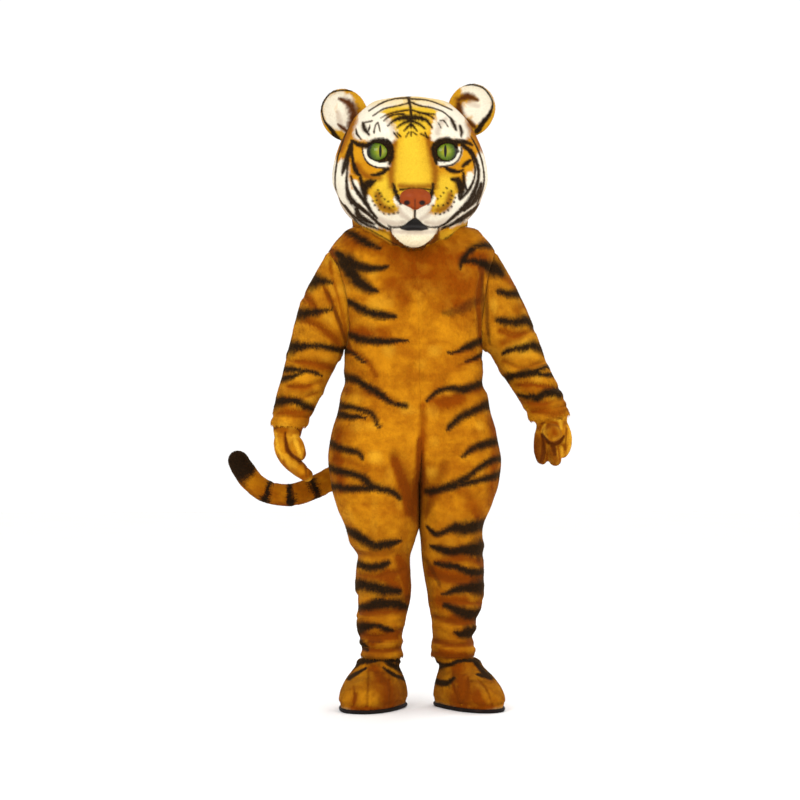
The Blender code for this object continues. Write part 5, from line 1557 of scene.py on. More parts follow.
def fingerGrid(root, row):       # a bent tube with a round tip through three places
    row = row.reshape(3, 4)
    u = np.linspace(0, 1, 17)[:, None]
    bend = 2 * row[1] - (row[0] + row[2]) / 2
    line = row[0] * (1 - u)**2 + bend * 2 * u * (1 - u) + row[2] * u * u
    middle, radius = root + line[:, :3], line[:, 3] - glove["under"]
    along = unit(np.gradient(middle, axis=0))
    lean = np.linspace(12, 84, 7) * math.pi / 180                # and on to a round tip
    middle = np.concatenate([middle, middle[-1] + along[-1] * (radius[-1] * np.sin(lean))[:, None]])
    radius = np.concatenate([radius, radius[-1] * np.cos(lean)])
    along = np.concatenate([along, np.repeat(along[-1:], 7, axis=0)])
    front = unit(np.array([0.0, -1.0, 0.0]) + along * along[:, 1:2])
    aside = np.cross(along, front)
    angle = ringAngles(24)
    return middle[:, None] + radius[:, None, None] * (front[:, None] * np.cos(angle)[:, None]
                                                      + aside[:, None] * np.sin(angle)[:, None])


def palmGrid(name):              # rings from inside the sleeve's hem to the knuckles
    clear = glove["clear"] + glove["under"]
    hem, upper = sleeveRing(name, 8, clear, 48), sleeveRing(name, 7.55, clear, 48)
    root = hem.mean(axis=0)
    angle = ringAngles(48)
    rings = [upper * 2 - hem, upper, hem]
    for x, y, z, wide, deep in glovePalms[name]:
        across = sides[name] * (wide - glove["under"]) * np.cos(angle)
        along = -(deep - glove["under"]) * np.sin(angle)
        rings.append(root + (x, y, z) + np.stack([across, along, 0 * angle], axis=1))
    return throughPoints(np.stack(rings), 30), root, unit((hem - upper).mean(axis=0)), upper.mean(axis=0)


# rust colour, and painted shade along the creases, between the fingers and under the sleeves' cuffs
gloveRustAndShade = {
    "right": strokes("""
        276 428 3 290 431 4 303 430 3
        284 432 1.5 287 446 1.8 293 457 1.8 301 463 1.5
        303 437 1.6 306 447 1.6 304 458 1.6
        300 478 4 309 474 4 312 466 3
        279 455 2 290 472 2.4 298 480 2
        299 429 1.6 300.5 436 1.6
        305 464 1.6 306 471 1.8 306.6 476 1.6
        292 470 3 298 474 3.4
    """),
    "left": strokes("""
        538 428 3 556 424 4 570 421 3
        545 438 1.3 547 450 1.3 547 462 1.3
        557 442 1.5 559 452 1.5 560 464 1.3
        546 441 1.5 553 443 1.8 561 440 1.5
        568 455 2 560 466 2.4 548 468 2
        536.5 436 4.6 536 450 5 540 463 4.6
        551 447 4.6 553 456 5 555 465 4.6
        562 446 3 562 453 3
        554 431.5 5.5 555 434 5
    """),
}
gloveDark = {                     # painted shade in the deepest creases, under the left thumb's ball and under the sleeves' cuffs
    "right": strokes("""
        1 285.2 432 0.8 285.7 440 1.2 287 447 1.8 288 450 2.0 291 454 1.6 295 457 1.8 299.5 460 1.8,
          302.5 460.5 1.2
        0.8 274 428 1.0 282 426 0.8 294 426 0.8 302 433 1.0
        0.7 303.5 436 1.0 304 441 1.0
        0.5 305 464 1.2 306 471 1.2 306.6 476 1.2
    """, 1),
    "left": strokes("""
        1 542 434 1.4 543.5 446 2.4 543 455 2.4 541 461 1.6
        1 552 444 2.4 554 449 2.6 555 454 1.6
        1 543.5 436 1.4 548 442 1.8 554 444 2.0 560 441.5 1.8 564 436 1.4
        0.5 566.4 428 1.0 566.2 436 1.0 565.4 443 1.0 565.2 450 1.0
        0.7 541 424 0.9 545 422 0.9
        0.7 557 418 0.8 562 418 0.8
        0.66 538 440 3.4 538 450 4.6 541 463 4.4
        0.45 551 450 3.6 552 457 4.6 554 465 4.6
    """, 1),
}
gloveFolds = {
    "right": strokes("""
        -2.6 285 432 1.0 288 450 1.0 293 458 1.0 301 462 1.0
        -1.6 276 446 0.8 281 452 0.8 288 455 0.8
        -1.4 280 432 0.8 290 437 0.8 303 437 0.8
        1.6 296 436 3 298 450 3
    """, 1),
    "left": strokes("""
        -2.2 546.8 443 1.0 547.2 452 1.0 547 465 1.0
        -2.2 558.5 444 1.0 559.5 454 1.0 560.5 466 1.0
        -1.8 565 424 0.8 566 432 0.8 564.5 442 0.8 563 451 0.8
        -1.6 541 430 0.8 546 440 0.8 554 443 0.8 562 438 0.8
    """, 1),
}
gloveHighlights = {                     # painted highlights on the fingers' rims and on the left thumb's ball
    "right": strokes("""
        276 434 1.4 277.5 446 1.8 282 458 1.6
        294 436 1.6 297 446 2.0 300 453 1.6
    """),
    "left": strokes("""
        545 425 1.6 543.2 431 2.0 545.6 437.5 1.8
        553 418.6 1.5 560 420 2.2 561 428 1.4
        568 420 2.0 571 432 2.6 570.6 446 2.4 568 457 1.8
        561 447 1.8 562.5 455 1.8
    """),
}


def paintGlove(name, points, normals):
    front = ~facesBack(normals)
    spots = planOf(points)
    wobble = 0.3 * lumps(points, 0.012, 5)
    # rust colour with painted shade along the creases
    rust = np.where(front, 0.85 * layStrokes(spots, gloveRustAndShade[name], 1.8, wobble), 0.12)
    rust = np.clip(rust + 0.16 * lumps(points, 0.04, 7) + 0.10 * lumps(points, 0.018, 8), 0, 1)
    # painted highlights; where they lie, the painted shade gives way
    pale = np.where(front, layStrokes(spots, gloveHighlights[name], 1.6, wobble), 0)
    gold = np.maximum(0.75 * soften(0.5 + 1.2 * lumps(points, 0.030, 12)), pale)
    rust = rust * (1 - 0.85 * pale)
    # painted shade in the deepest creases and under the cuffs
    dark = np.where(front, 0.78 * layStrokes(spots, gloveDark[name], 1.5, wobble), 0)
    return {"rust": np.maximum(rust, np.minimum(dark * 1.7, 1)), "gold": gold, "stripe": dark * 0.75}


def addGlove(name):
    palm, root, down, upper = palmGrid(name)
    grids = [palm] + [fingerGrid(root, row) for row in gloveFingers[name]]
    skin = worked(joined("joined", [tubeMesh("part", grid) for grid in grids]),
                  ("REMESH", {"mode": "VOXEL", "voxel_size": glove["voxel"]}),
                  ("SMOOTH", {"factor": 0.5, "iterations": 5}))
    work = bmesh.new()
    work.from_mesh(skin)
    bmesh.ops.bisect_plane(work, geom=work.verts[:] + work.edges[:] + work.faces[:], plane_co=upper,
                           plane_no=down, clear_inner=True)  # the wrist is left open
    bmesh.ops.triangulate(work, faces=[f for f in work.faces if len(f.verts) > 4])
    work.to_mesh(skin)
    work.free()
    verts, normals, _ = readMesh(skin)
    rise = np.where(facesBack(normals), 0, layFolds(planOf(verts), gloveFolds[name]))
    rise = rise + 0.0008 * lumps(verts, 0.03, 3) + 0.0004 * lumps(verts, 0.013, 4)
    verts = verts + normals * rise[:, None]
    skin.vertices.foreach_set("co", verts.ravel())
    verts, normals, tris = readMesh(skin)
    wall = worked(skin, ("SOLIDIFY", {"thickness": glove["wall"], "offset": -1.0, "use_even_offset": False}))
    points, pointNormals, _ = readMesh(wall)
    masks = paintGlove(name, points, pointNormals)
    masks["tip"] = np.full(len(points), 0.45)
    writeMasks(wall, masks)
    label = "glove" + name.capitalize()
    piece = addObject(label, wall, suitPlush)
    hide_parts("glove_" + name)
    hem = root + down * 0.004
    pile = growPile(label + "Pile", verts, normals, tris, lambda p, n: paintGlove(name, p, n), glove["coat"],
                    suitPlush, downwards, glove["seed"][name], lambda at: (at - hem) @ down > 0)
    print(label, "area", round(float(areaOf(verts, tris).sum()), 3), "pile", len(pile.data.polygons))


for name in sides:
    addGlove(name)
print("gloves ready")


# Tail: a stuffed tube sewn to the back, banded towards its black tip
tail = {
    "radius": 0.0365,
    "under": 0.0025,
    "round": 56,
    "long": 150,
    "coat": {"length": 0.0085, "width": 0.0024, "rise": 7.0, "room": 5.0, "most": 32000},
    # each band's place and half width in plan steps, and where the black tip begins
    "bands": ((266.5, 3.4), (289.5, 2.8), (313, 3.8), (336, 3.4), (358, 4.0), (380, 4.0)),
    "blackFrom": 250.0,
    "taper": (1.12, 0.02),       # share of the radius at the root, and what each place takes off
    "lumps": ((0.0020, 0.06, 3), (0.0010, 0.025, 4)),   # uneven stuffing
    "creases": ((24, 0.0022), (43, 0.0016), (61, 0.0024), (84, 0.0018), (101, 0.0022), (118, 0.0015)),
    "clear": 0.0012,             # the root lies this far off the back
    "tipRings": 12,
}
tailLine = np.array([
    (0.006, 0.128, 0.794), (-0.020, 0.182, 0.782), (-0.100, 0.207, 0.746), (-0.190, 0.203, 0.704),
    (-0.261, 0.189, 0.672), (-0.327, 0.176, 0.641), (-0.382, 0.166, 0.630), (-0.442, 0.157, 0.641),
    (-0.486, 0.151, 0.671), (-0.519, 0.147, 0.713), (-0.530, 0.145, 0.734)]) - (0, 0, shoulder + 0.003)


def treeOf(parts):               # a tree to cast rays on, from points and triangles of several pieces
    verts, tris, start = [], [], 0
    for flat, faces in parts:
        verts.append(flat)
        tris.append(faces + start)
        start += len(flat)
    return BVHTree.FromPolygons(np.concatenate(verts).tolist(), np.concatenate(tris).tolist())


suitTree = treeOf(panels)


def liftOff(points, axis, clear):  # each point moved along an axis until it lies this far off the suit
    for spot in np.ndindex(points.shape[:-1]):
        start, way = Vector(points[spot]), Vector((0, 0, 0))
        start[axis], way[axis] = 1.0, -1.0
        hit = suitTree.ray_cast(start, way)[0]
        if hit is not None and points[spot][axis] < hit[axis] + clear:
            points[spot][axis] = hit[axis] + clear


def addTail():
    line = throughPoints(tailLine, tail["long"])
    number = np.linspace(0, len(tailLine) - 1, tail["long"] + 1)
    full, less = tail["taper"]
    radius = tail["radius"] * (full - less * number) - tail["under"]
    along, up, aside = spinAxis(line)
    lean = np.linspace(8, 84, tail["tipRings"]) * math.pi / 180
    line = np.concatenate([line, line[-1] + along[-1] * (radius[-1] * 1.04 * np.sin(lean))[:, None]])
    radius = np.concatenate([radius, radius[-1] * np.cos(lean)])
    up, aside = (np.concatenate([v, np.repeat(v[-1:], tail["tipRings"], axis=0)]) for v in (up, aside))
    angle = ringAngles(tail["round"])
    way = up[:, None] * np.cos(angle)[:, None] + aside[:, None] * np.sin(angle)[:, None]
    grid = line[:, None] + way * radius[:, None, None]
    rise = lumpy(grid, tail["lumps"])
    across = planOf(line)[:, 0]
    walk = np.arange(len(line))
    for spot, depth in tail["creases"]:
        pinch = (1 + np.cos(angle + spot))[None, :] / 2
        rise -= depth * np.exp(-((walk - spot) / 1.8)**2)[:, None] * pinch
    grid = grid + way * rise[..., None]
    liftOff(grid[:30], 1, tail["clear"])                         # the root ends flat against the back
    mesh = tubeMesh("tail", grid)
    verts, normals, tris = readMesh(mesh)

    def paintTail(points, normals):
        nearest = np.concatenate([np.argmin(((some[:, None] - line[None, ::2])**2).sum(axis=2), axis=1)
                                  for some in np.array_split(points, max(len(points) // 4000, 1))])
        where = across[::2][nearest] + 2.6 * lumps(points, 0.03, 5) + 1.2 * lumps(points, 0.011, 6)
        black = soften((tail["blackFrom"] - where) / 4.5 + 0.5)
        for spot, half in tail["bands"]:
            black = np.maximum(black, soften((half - np.abs(where - spot)) / 3.0 + 0.5))
        rust = 0.42 + 0.34 * lumps(points, 0.05, 7) + 0.20 * lumps(points, 0.02, 8) + 0.3 * black
        return {"stripe": black, "rust": np.clip(rust, 0, 1)}

    masks = paintTail(verts, normals)
    masks["tip"] = np.full(len(verts), 0.45)
    writeMasks(mesh, masks)
    piece = addObject("tailBody", mesh, suitPlush)
    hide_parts("tail")
    toTip = unit(np.gradient(line, axis=0))

    def tipwards(root, normal):
        nearest = np.argmin(((root[:, None] - line[None, ::4])**2).sum(axis=2), axis=1)
        return toTip[::4][nearest]

    pile = growPile("tailPile", verts, normals, tris, paintTail, tail["coat"], suitPlush, tipwards, 81,
                    lambda root: root[:, 1] > 0.0)
    print("tail pile", len(pile.data.polygons))


addTail()
print("tail ready")


# Ears: stuffed cups, trimmed where they are sewn to the head
ear = {
    "right": {"x": -0.197, "z": 0.166, "wide": 0.069, "tall": 0.075, "roll": 22.0},
    "left": {"x": 0.186, "z": 0.183, "wide": 0.070, "tall": 0.076, "roll": -20.0},
    "thick": 0.014,
    "cup": 0.030,
    "seed": {"right": 92, "left": 91},
    "profile": (                 # shares of its width, cup and thickness
        (0.10, 0.06, 0.0), (0.22, 0.10, 0.0), (0.50, 0.22, 0.0), (0.76, 0.52, 0.0), (0.92, 0.86, 0.0),
        (0.985, 1.0, 0.0), (1.0, 0.80, 0.35), (0.97, 0.40, 0.8), (0.84, -0.05, 1.0), (0.58, -0.35, 1.0),
        (0.24, -0.50, 1.0), (0.08, -0.52, 1.0)),
    "coat": {"length": 0.0042, "width": 0.0015, "rise": 7.0, "room": 2.4, "most": 16000},
}
earRim = strokes("""
    352 91 0.8 342 90.5 0.8 330 93.5 0.9 323 104 0.9 322 112 0.9 325 122 1.1 331 129 2.0 337 138 2.8,
      342 144 3.0
    455 88 0.8 464 85.5 0.8 473 85 0.9 483 88 0.9 489.5 95.5 0.9 492.5 104 1.0 489.5 114 2.0,
      484 121 2.8 477 131 3.0
""")
# painted shade in each ear's hollow
earHollow = strokes("""
    339 99 1.2 346 101.5 3.0 352 108 4.8 353.5 117 4.8 350 126 3.0
    338 124 0.8 343 128 2.0 347 131 1.4
    459 100 2.2 467 96.5 3.6 477 100 1.8
    458.5 104 2.4 459.5 111 3.4 462 118 2.4
    464 118 1.4 470 123 2.8 475 127 1.6
""")
earCream = strokes("""
    340 97 6 331 103 7 330 113 8 334 121 7 340 126 4
    342 104 6 343 114 7 342 120 5
    347 99 5 350 108 6 350 118 6 346 127 5
    466 90 5 477 91 6 485 100 7 484 110 7 477 118 6
    476 108 8 470 110 8
""")
earShade = strokes("""
    345 99 3 351 104 4 357 114 5 354 127 4
    338 112 2 340 122 3
    458 100 4 460 110 4 464 118 4
    470 103 3 478 106 2
""")


def earGrid(name):               # rings from the hollow's middle over the edge to the back
    form = ear[name]
    roll = math.radians(form["roll"])
    profile = [(s, (0.15 - f) * ear["cup"] + ear["thick"] * t) for s, f, t in ear["profile"]]
    stations = throughPoints(profile, 66)
    angle = ringAngles(84)
    share, y = stations[:, :1], np.repeat(stations[:, 1:], 84, axis=1)
    x = np.sin(angle) * form["wide"] * share
    z = np.cos(angle) * form["tall"] * share * np.where(np.cos(angle) > 0, 1.0, 1.10)
    grid = np.stack([x * math.cos(roll) - z * math.sin(roll), y,
                     x * math.sin(roll) + z * math.cos(roll)], axis=-1)
    return headForm["centre"] + (form["x"], 0.028, form["z"]) + grid


def paintEar(points, normals):
    front = normals @ towardsCamera > -0.1
    spots = planOf(points)
    wobble = 0.25 * lumps(points, 0.006, 5)
    rim = layStrokes(spots, earRim, 0.8, wobble)
    cream = np.where(front, layStrokes(spots, earCream, 0.8, wobble), 0)
    shade = np.where(front, 0.75 * layStrokes(spots, earShade, 1.6, wobble),
                     0.35 + 0.2 * lumps(points, 0.03, 6))
    # painted shade in the ear's hollow
    hollow = np.where(front, layStrokes(spots, earHollow, 1.6, wobble), 0)
    behind = np.where(front, 0, soften((np.hypot(*(spots - earMiddle(spots)).T) - 15.5) / 2.5))
    return {"stripe": np.maximum(np.maximum(np.where(front, rim, 0), behind), 0.66 * hollow),
            "cream": cream, "gold": np.where(front, 0.3, 0),
            "rust": np.clip(np.maximum(shade * (1 - 0.62 * cream), hollow), 0, 1)}


def earMiddle(spots):            # the nearer ear's middle in the plan
    return np.where(spots[:, :1] < 400, (343.0, 112.0), (469.0, 107.0))


def headPlug():
    # the head's closed form, which pieces sewn or stuck on it are trimmed to
    grid = headGrid(headForm["under"] - 0.0003)[::4, ::3]
    return addObject("headPlug", tubeMesh("headPlug", grid), None, None)


plug = headPlug()
trim = ("BOOLEAN", {"object": plug, "operation": "DIFFERENCE", "solver": "EXACT"})


def addEar(name):
    mesh = worked(tubeMesh("ear", earGrid(name)), trim)
    verts, normals, tris = readMesh(mesh)
    masks = paintEar(verts, normals)
    masks["tip"] = np.full(len(verts), 0.6)
    writeMasks(mesh, masks)
    label = "ear" + name.capitalize()
    piece = addObject(label, mesh, facePlush)
    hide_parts("ear_" + name)
    middle = verts.mean(axis=0)
    pile = growPile(label + "Pile", verts, normals, tris, paintEar, ear["coat"], facePlush,
                    lambda root, normal: unit(root - middle), ear["seed"][name])
    print(label, "pile", len(pile.data.polygons))


for name in sides:
    addEar(name)
print("ears ready")


# Neck skirt: a plush drape from the head's rim that lies on the suit's collar
skirt = {
    "side": -0.190,              # its lower edge about the head's middle
    "front": -0.246,
    "rows": 22,
    "under": (0.0022, 0.0060),   # its outer and inner face inside the head's pile, and off the suit
    "clear": (0.0042, 0.0012),
    # the face's paint runs down to the first line in the plan, and its pale part to the second
    "faceEnds": ((335, 206), (346, 214), (356, 223), (368, 230), (384, 239), (400, 248), (430, 248),
                 (446, 239), (462, 230), (474, 222), (484, 214), (492, 206)),
    "jaw": ((335, 200), (343, 210), (352, 219), (362, 225), (376, 229), (392, 232), (438, 232),
            (452, 229), (465, 223), (476, 214), (484, 204), (492, 198)),
    "coat": {"length": 0.0070, "width": 0.0022, "rise": 7.0, "room": 4.5, "most": 26000},
}


def skirtGrid(inset):            # rows from the head's rim down onto the suit
    angles = headAzimuths()[::2]
    front = np.maximum(np.cos(angles), 0)**2
    low = skirt["side"] + (skirt["front"] - skirt["side"]) * soften(front)
    rimAt = rimHeight(angles)
    rim = headSurface(rimAt, angles, inset)
    outwards = rim - headForm["centre"]
    outwards[:, 2] = 0
    outwards = unit(outwards)
    rows = []
    for share in np.linspace(0, 1, skirt["rows"] + 1):  # it hangs in from the rim, and flares in front
        row = rim + outwards * (share * (-0.008 - 0.062 * front))[:, None]
        row[:, 2] += (low - rimAt) * share - 0.0015 * (1 - share)
        rows.append(row)
    return np.stack(rows)


def paintSkirt(points, normals):
    masks = paintHead(points, normals)
    spots = planOf(points)
    room = np.interp(spots[:, 0], *np.array(skirt["faceEnds"]).T) - spots[:, 1]
    below = soften(0.5 - room / 3)
    jaw = soften(0.5 + (np.interp(spots[:, 0], *np.array(skirt["jaw"]).T) - spots[:, 1]) / 2)
    masks["cream"], masks["stripe"] = masks["cream"] * jaw, masks["stripe"] * np.maximum(jaw, 0.25)
    masks["gold"] = np.maximum(masks["gold"] * jaw, 0.35 * (1 - jaw))
    front = normals @ towardsCamera > -0.05
    shade = front * soften((27 - np.abs(spots[:, 0] - faceColumn)) / 5)     # beside and under the chin
    masks["rust"] = np.clip(masks["rust"] * (1 - below) + np.maximum(0.8 * below, shade), 0, 1)
    for key in ("cream", "gold"):
        masks[key] = np.where(front, masks[key] * (1 - below) * (1 - shade), 0)
    line = 0.9 * soften(1 - np.abs(room - 1.5) / 1.6)                       # where the face's paint ends
    stripe = np.maximum(np.maximum(masks["stripe"] * (1 - below), line), 0.35 * shade)
    masks["stripe"] = np.where(front, stripe, 0)
    return masks


def addSkirt():
    outer, inner = (skirtGrid(inset) for inset in skirt["under"])
    middle = np.array([headForm["centre"][0], headForm["centre"][1], 0.03])
    share = np.linspace(0, 1, skirt["rows"] + 1)[:, None]
    angles = headAzimuths()[::2]
    ruck = 0.0028 * np.sin(angles * 17 + 1.5 * np.sin(angles * 5)) + 0.0018 * np.sin(angles * 29 + 2.0)
    shift = outwardNormals(outer, middle) * (ruck * share)[..., None]
    outer, inner = outer + shift, inner + shift
    for grid, clear in zip((outer, inner), skirt["clear"]):
        liftOff(grid, 2, clear)
    finishCloth("neckSkirt", "neck_skirt", outer, inner, outwardNormals(outer, middle), paintSkirt,
                skirt["coat"], downwards, 95, facePlush, step=1)


addSkirt()
print("neck skirt ready")


# Eyes: glossy cast domes, each with a painted iris behind its front
eye = {
    "right": (-0.101, 0.038),    # middles about the head's middle, across and up
    "left": (0.090, 0.038),
    "half": (0.037, 0.027, 0.033),
    "sunk": 0.010,
    "irisRound": 0.0318,
    "rings": ((0.0, "#96881A"), (0.30, "#848A12"), (0.58, "#5C720C"), (0.88, "#354806"), (0.96, "#101604"),
              (1.0, "#070604")),
}


def faceFront(x, z):             # Y of the face about the head's middle
    row = readAt(headRows, "height", z)
    share = np.minimum(np.abs(x) / row["wide"], 0.999)
    return -row["front"] * np.sqrt(1 - share * share) - facePush(x, z)


def atPlan(spot, y):             # X and Z of the place at a depth that falls on a spot of the plan
    across, up = (spot[0] - planMiddle) * planStep, (planMiddle - spot[1]) * planStep
    depth = shot["distance"] + y * math.cos(turn)
    for _ in range(4):
        x = target[0] + (across * depth / shot["distance"] - y * acrossAxis[1]) / acrossAxis[0]
        depth = shot["distance"] - (np.array([x, y, 0]) - target)[:2] @ towardsCamera[:2]
    return x, target[2] + up * depth / shot["distance"]


def eyeMaterial(name, middle):
    # cast acrylic over a painted iris: yellow green round a slit pupil, darker to its edge, with
    # fine spokes, a black surround, and a hard clear gloss
    made, tree, shader, place = newMaterial(name, {"Roughness": 0.4, "IOR": 1.45, "Specular IOR Level": 0.1,
                                                   "Coat Weight": 0.30, "Coat Roughness": 0.05})
    size = eye["irisRound"]
    centred = (-middle[0] / size, 0.0, -middle[1] / size)
    local = addNode(tree, "Mapping", {"Vector": place, "Scale": (1 / size, 0.0, 1 / size),
                                      "Location": centred})
    away = addNode(tree, "VectorMath", {0: local}, operation="LENGTH").outputs["Value"]
    parts = addNode(tree, "SeparateXYZ", {"Vector": local})
    angle = addNode(tree, "Math", {0: parts.outputs["Z"], 1: parts.outputs["X"]}, operation="ARCTAN2")
    polar = addNode(tree, "CombineXYZ", {"X": angle, "Y": away})
    stretched = addNode(tree, "Mapping", {"Vector": polar, "Scale": (7.0, 0.9, 1.0)})
    spokes = addNode(tree, "TexNoise", {"Vector": stretched, "Scale": 2.6, "Detail": 4.0})
    shifted = addNode(tree, "MapRange", {"Value": spokes, "From Min": 0.3, "From Max": 0.7, "To Min": -0.13,
                                         "To Max": 0.13})
    ringAt = addNode(tree, "Math", {0: away, 1: shifted}, operation="ADD")
    ramp = addNode(tree, "ValToRGB", {"Fac": ringAt})
    for k, (spot, code) in enumerate(eye["rings"]):
        stop = ramp.color_ramp.elements[k] if k < 2 else ramp.color_ramp.elements.new(spot)
        stop.position, stop.color = spot, colour(code)
    slit = addNode(tree, "Mapping", {"Vector": local, "Scale": (1 / 0.135, 0.0, 1 / 0.60)})
    fromSlit = addNode(tree, "VectorMath", {0: slit}, operation="LENGTH").outputs["Value"]
    pupil = addNode(tree, "MapRange", {"Value": fromSlit, "From Min": 0.86, "From Max": 1.06})
    tone = addNode(tree, "MixRGB", {"Fac": pupil, "Color1": "#0A0806", "Color2": ramp})
    finishSurface(tree, shader, tone)
    return made


def addEye(name):
    x, z = eye[name]
    seat = headForm["centre"] + (x, float(faceFront(x, z)) + eye["sunk"], z)
    tilt = np.linspace(0.02, math.pi - 0.02, 49)
    angle = ringAngles(72)
    grid = seat + np.stack([np.sin(tilt)[:, None] * np.cos(angle) * eye["half"][0],
                            -np.cos(tilt)[:, None] * np.ones(72) * eye["half"][1],
                            np.sin(tilt)[:, None] * np.sin(angle) * eye["half"][2]], axis=-1)
    mesh = worked(tubeMesh("eye", grid), trim)
    middle = atPlan(irisSpots[name], seat[1] - eye["half"][1])
    label = "eye" + name.capitalize()
    piece = addObject(label, mesh, eyeMaterial(label + "Acrylic", middle))
    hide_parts("eye_" + name)


# Nose: a covered foam nose with two nostrils and a groove between them
nose = {
    "middle": (-0.002, -0.107),
    "half": (0.046, 0.025, 0.031),
    "sunk": 0.008,
    "nostrils": ((407.0, 202.6), (422.4, 202.6)),
    "nostril": 0.0096,
    "square": 0.8,               # below 1 the nose is fuller than an oval
    "pits": 0.009,               # the nostrils' depth
    "groove": 0.0022,
}


def noseMaterial():
    # short brushed nose cloth over foam, dyed terracotta: a soft broad shine and a fine pebble
    made, tree, shader, place = newMaterial("terracottaNoseCloth", {"Roughness": 0.42, "IOR": 1.5,
                                                                    "Specular IOR Level": 0.12})
    dark = addNode(tree, "Attribute", attribute_name="stripe").outputs["Fac"]
    pebble = addNode(tree, "TexVoronoi", {"Vector": place, "Scale": 420.0})                   # 2.4 mm grain
    cloud = addNode(tree, "TexNoise", {"Vector": place, "Scale": 55.0, "Detail": 3.0})
    tone = addNode(tree, "MixRGB", {"Fac": cloud, "Color1": "#7C2E06", "Color2": "#984210"})
    # painted shade in the nostrils and the groove, from the 'stripe' attribute
    tone = addNode(tree, "MixRGB", {"Fac": dark, "Color1": tone, "Color2": "#23100A"})
    finishSurface(tree, shader, tone, pebble, 0.3, 0.0006)
    return made


def addNose():
    x, z = nose["middle"]
    seat = headForm["centre"] + (x, float(faceFront(x, z)) + nose["sunk"], z)
    tilt = np.linspace(0.02, math.pi - 0.02, 65)
    angle = ringAngles(112)
    sine = np.sin(tilt)[:, None]**nose["square"]
    cx, cz = (np.sign(f) * np.abs(f)**nose["square"] for f in (np.cos(angle), np.sin(angle)))
    local = np.stack([sine * cx, -np.cos(tilt)[:, None] * np.ones(112), sine * cz], axis=-1)
    low = np.clip(-local[..., 2], 0, 1)
    local[..., 0] *= 1 - 0.60 * soften((low - 0.25) / 0.70)      # narrow towards the lip
    grid = seat + local * nose["half"]
    spots = planOf(grid)
    front = np.clip(-local[..., 1], 0, 1)
    # painted shade in the nostrils' pits and along the groove, kept as the 'stripe' attribute
    dark = np.zeros(grid.shape[:2])
    for spot in nose["nostrils"]:
        away = np.hypot(*np.moveaxis((spots - spot) * (0.85, 1.05), -1, 0)) * planStep / nose["nostril"]
        grid[..., 1] += nose["pits"] * np.exp(-away**2) * (front > 0)
        dark = np.maximum(dark, soften((1.05 - away) / 0.5) * (front > 0))
    groove = np.exp(-((spots[..., 0] - faceColumn) / 0.8)**2) * soften((spots[..., 1] - 197) / 4)
    groove = groove * (front > 0)
    grid[..., 1] += nose["groove"] * groove
    dark = np.maximum(dark, 0.55 * groove)
    under = headForm["centre"][1] + 0.004 + faceFront(grid[..., 0] - headForm["centre"][0],
                                                      grid[..., 2] - headForm["centre"][2])
    grid[..., 1] = np.minimum(grid[..., 1], under)               # the back lies just under the face's skin
    mesh = tubeMesh("nose", grid)
    mesh.attributes.new("stripe", "FLOAT", "POINT").data.foreach_set("value", dark.ravel().astype(np.float32))
    piece = addObject("noseCover", mesh, noseMaterial())
    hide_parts("nose")


# Mouth: a black see-through knit stretched in the opening
def meshMaterial():
    # black polyester warp knit: small holes in rows, 2.5 mm apart, the threads slightly shiny
    made, tree, shader, place = newMaterial("blackSeeThroughKnit", {"Roughness": 0.62, "IOR": 1.5,
                                                                    "Specular IOR Level": 0.4})
    across = addNode(tree, "TexWave", {"Vector": place, "Scale": 63.0}, bands_direction="X")
    down = addNode(tree, "TexWave", {"Vector": place, "Scale": 63.0}, bands_direction="Z")
    threads = addNode(tree, "Math", {0: across.outputs["Fac"], 1: down.outputs["Fac"]}, operation="MAXIMUM")
    tone = addNode(tree, "MixRGB", {"Fac": threads, "Color1": "#030202", "Color2": "#1A1512"})
    finishSurface(tree, shader, tone, threads, 0.5, 0.0006)
    return made


mouth = {
    "rows": 15,
    "columns": 25,
    "inside": 0.00045,           # the panel ends this far inside the opening's edge
    "deep": 0.004,
    "thick": 0.0022,
}


def addMouth():
    half = mouthEdge[:6]
    walked = np.linspace(half[0, 1], half[-1, 1], mouth["rows"])
    wide = np.interp(-walked, -half[:, 1], half[:, 0]) - mouth["inside"]
    x = np.linspace(-1, 1, mouth["columns"])[None, :] * wide[:, None]
    z = np.repeat(walked[:, None], mouth["columns"], axis=1)
    front = np.stack([x, faceFront(x, z) + mouth["deep"], z], axis=-1) + headForm["centre"]
    back = front + (0, mouth["thick"], 0)
    piece = addObject("mouthPanel", wallMesh("mouthPanel", front, back, 1, False, {}), meshMaterial())
    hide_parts("mouth_mesh")
    print("mouth panel area", round(float(areaOf(front.reshape(-1, 3), trianglesOf(front, False)).sum()), 5))


for name in sides:
    addEye(name)
addNose()
addMouth()
bpy.data.objects.remove(plug)
print("face parts ready")


# Zip down the back: two woven tapes, coil teeth, and stitches beside them
backZip = {
    "top": 1.412,
    "bottom": 0.922,
    "wide": 0.026,
    "thick": 0.0012,
    "off": 0.0005,
    "split": 0.0012,             # half the room between the two tapes
    "pitch": 0.0025,
    "tooth": (0.0030, 0.0011, 0.0014),
    "apart": (0.0026, 0.0008),   # each row of teeth off the middle, above and below the slider
    "bevel": 0.0003,
    "slider": 1.377,
    "stitch": (0.0007, 0.0006, 0.0030),   # width, thickness and length
    "stitchPitch": 0.0045,
    "stitchAt": 0.0095,
}


def backAt(x, heights):          # Y of the back beside its centre seam, at heights above the soles
    spots = []
    for name in ("left", "right"):
        near, far = (suitSurface(name, heights, np.full(len(heights), p), 0.0) for p in (1.0, 0.94))
        share = np.clip(abs(x) / np.maximum(np.abs(far[:, 0] - near[:, 0]), 1e-6), 0, 1)
        spots.append(near[:, 1] * (1 - share) + far[:, 1] * share)
    return spots[0] if x > 0 else spots[1]


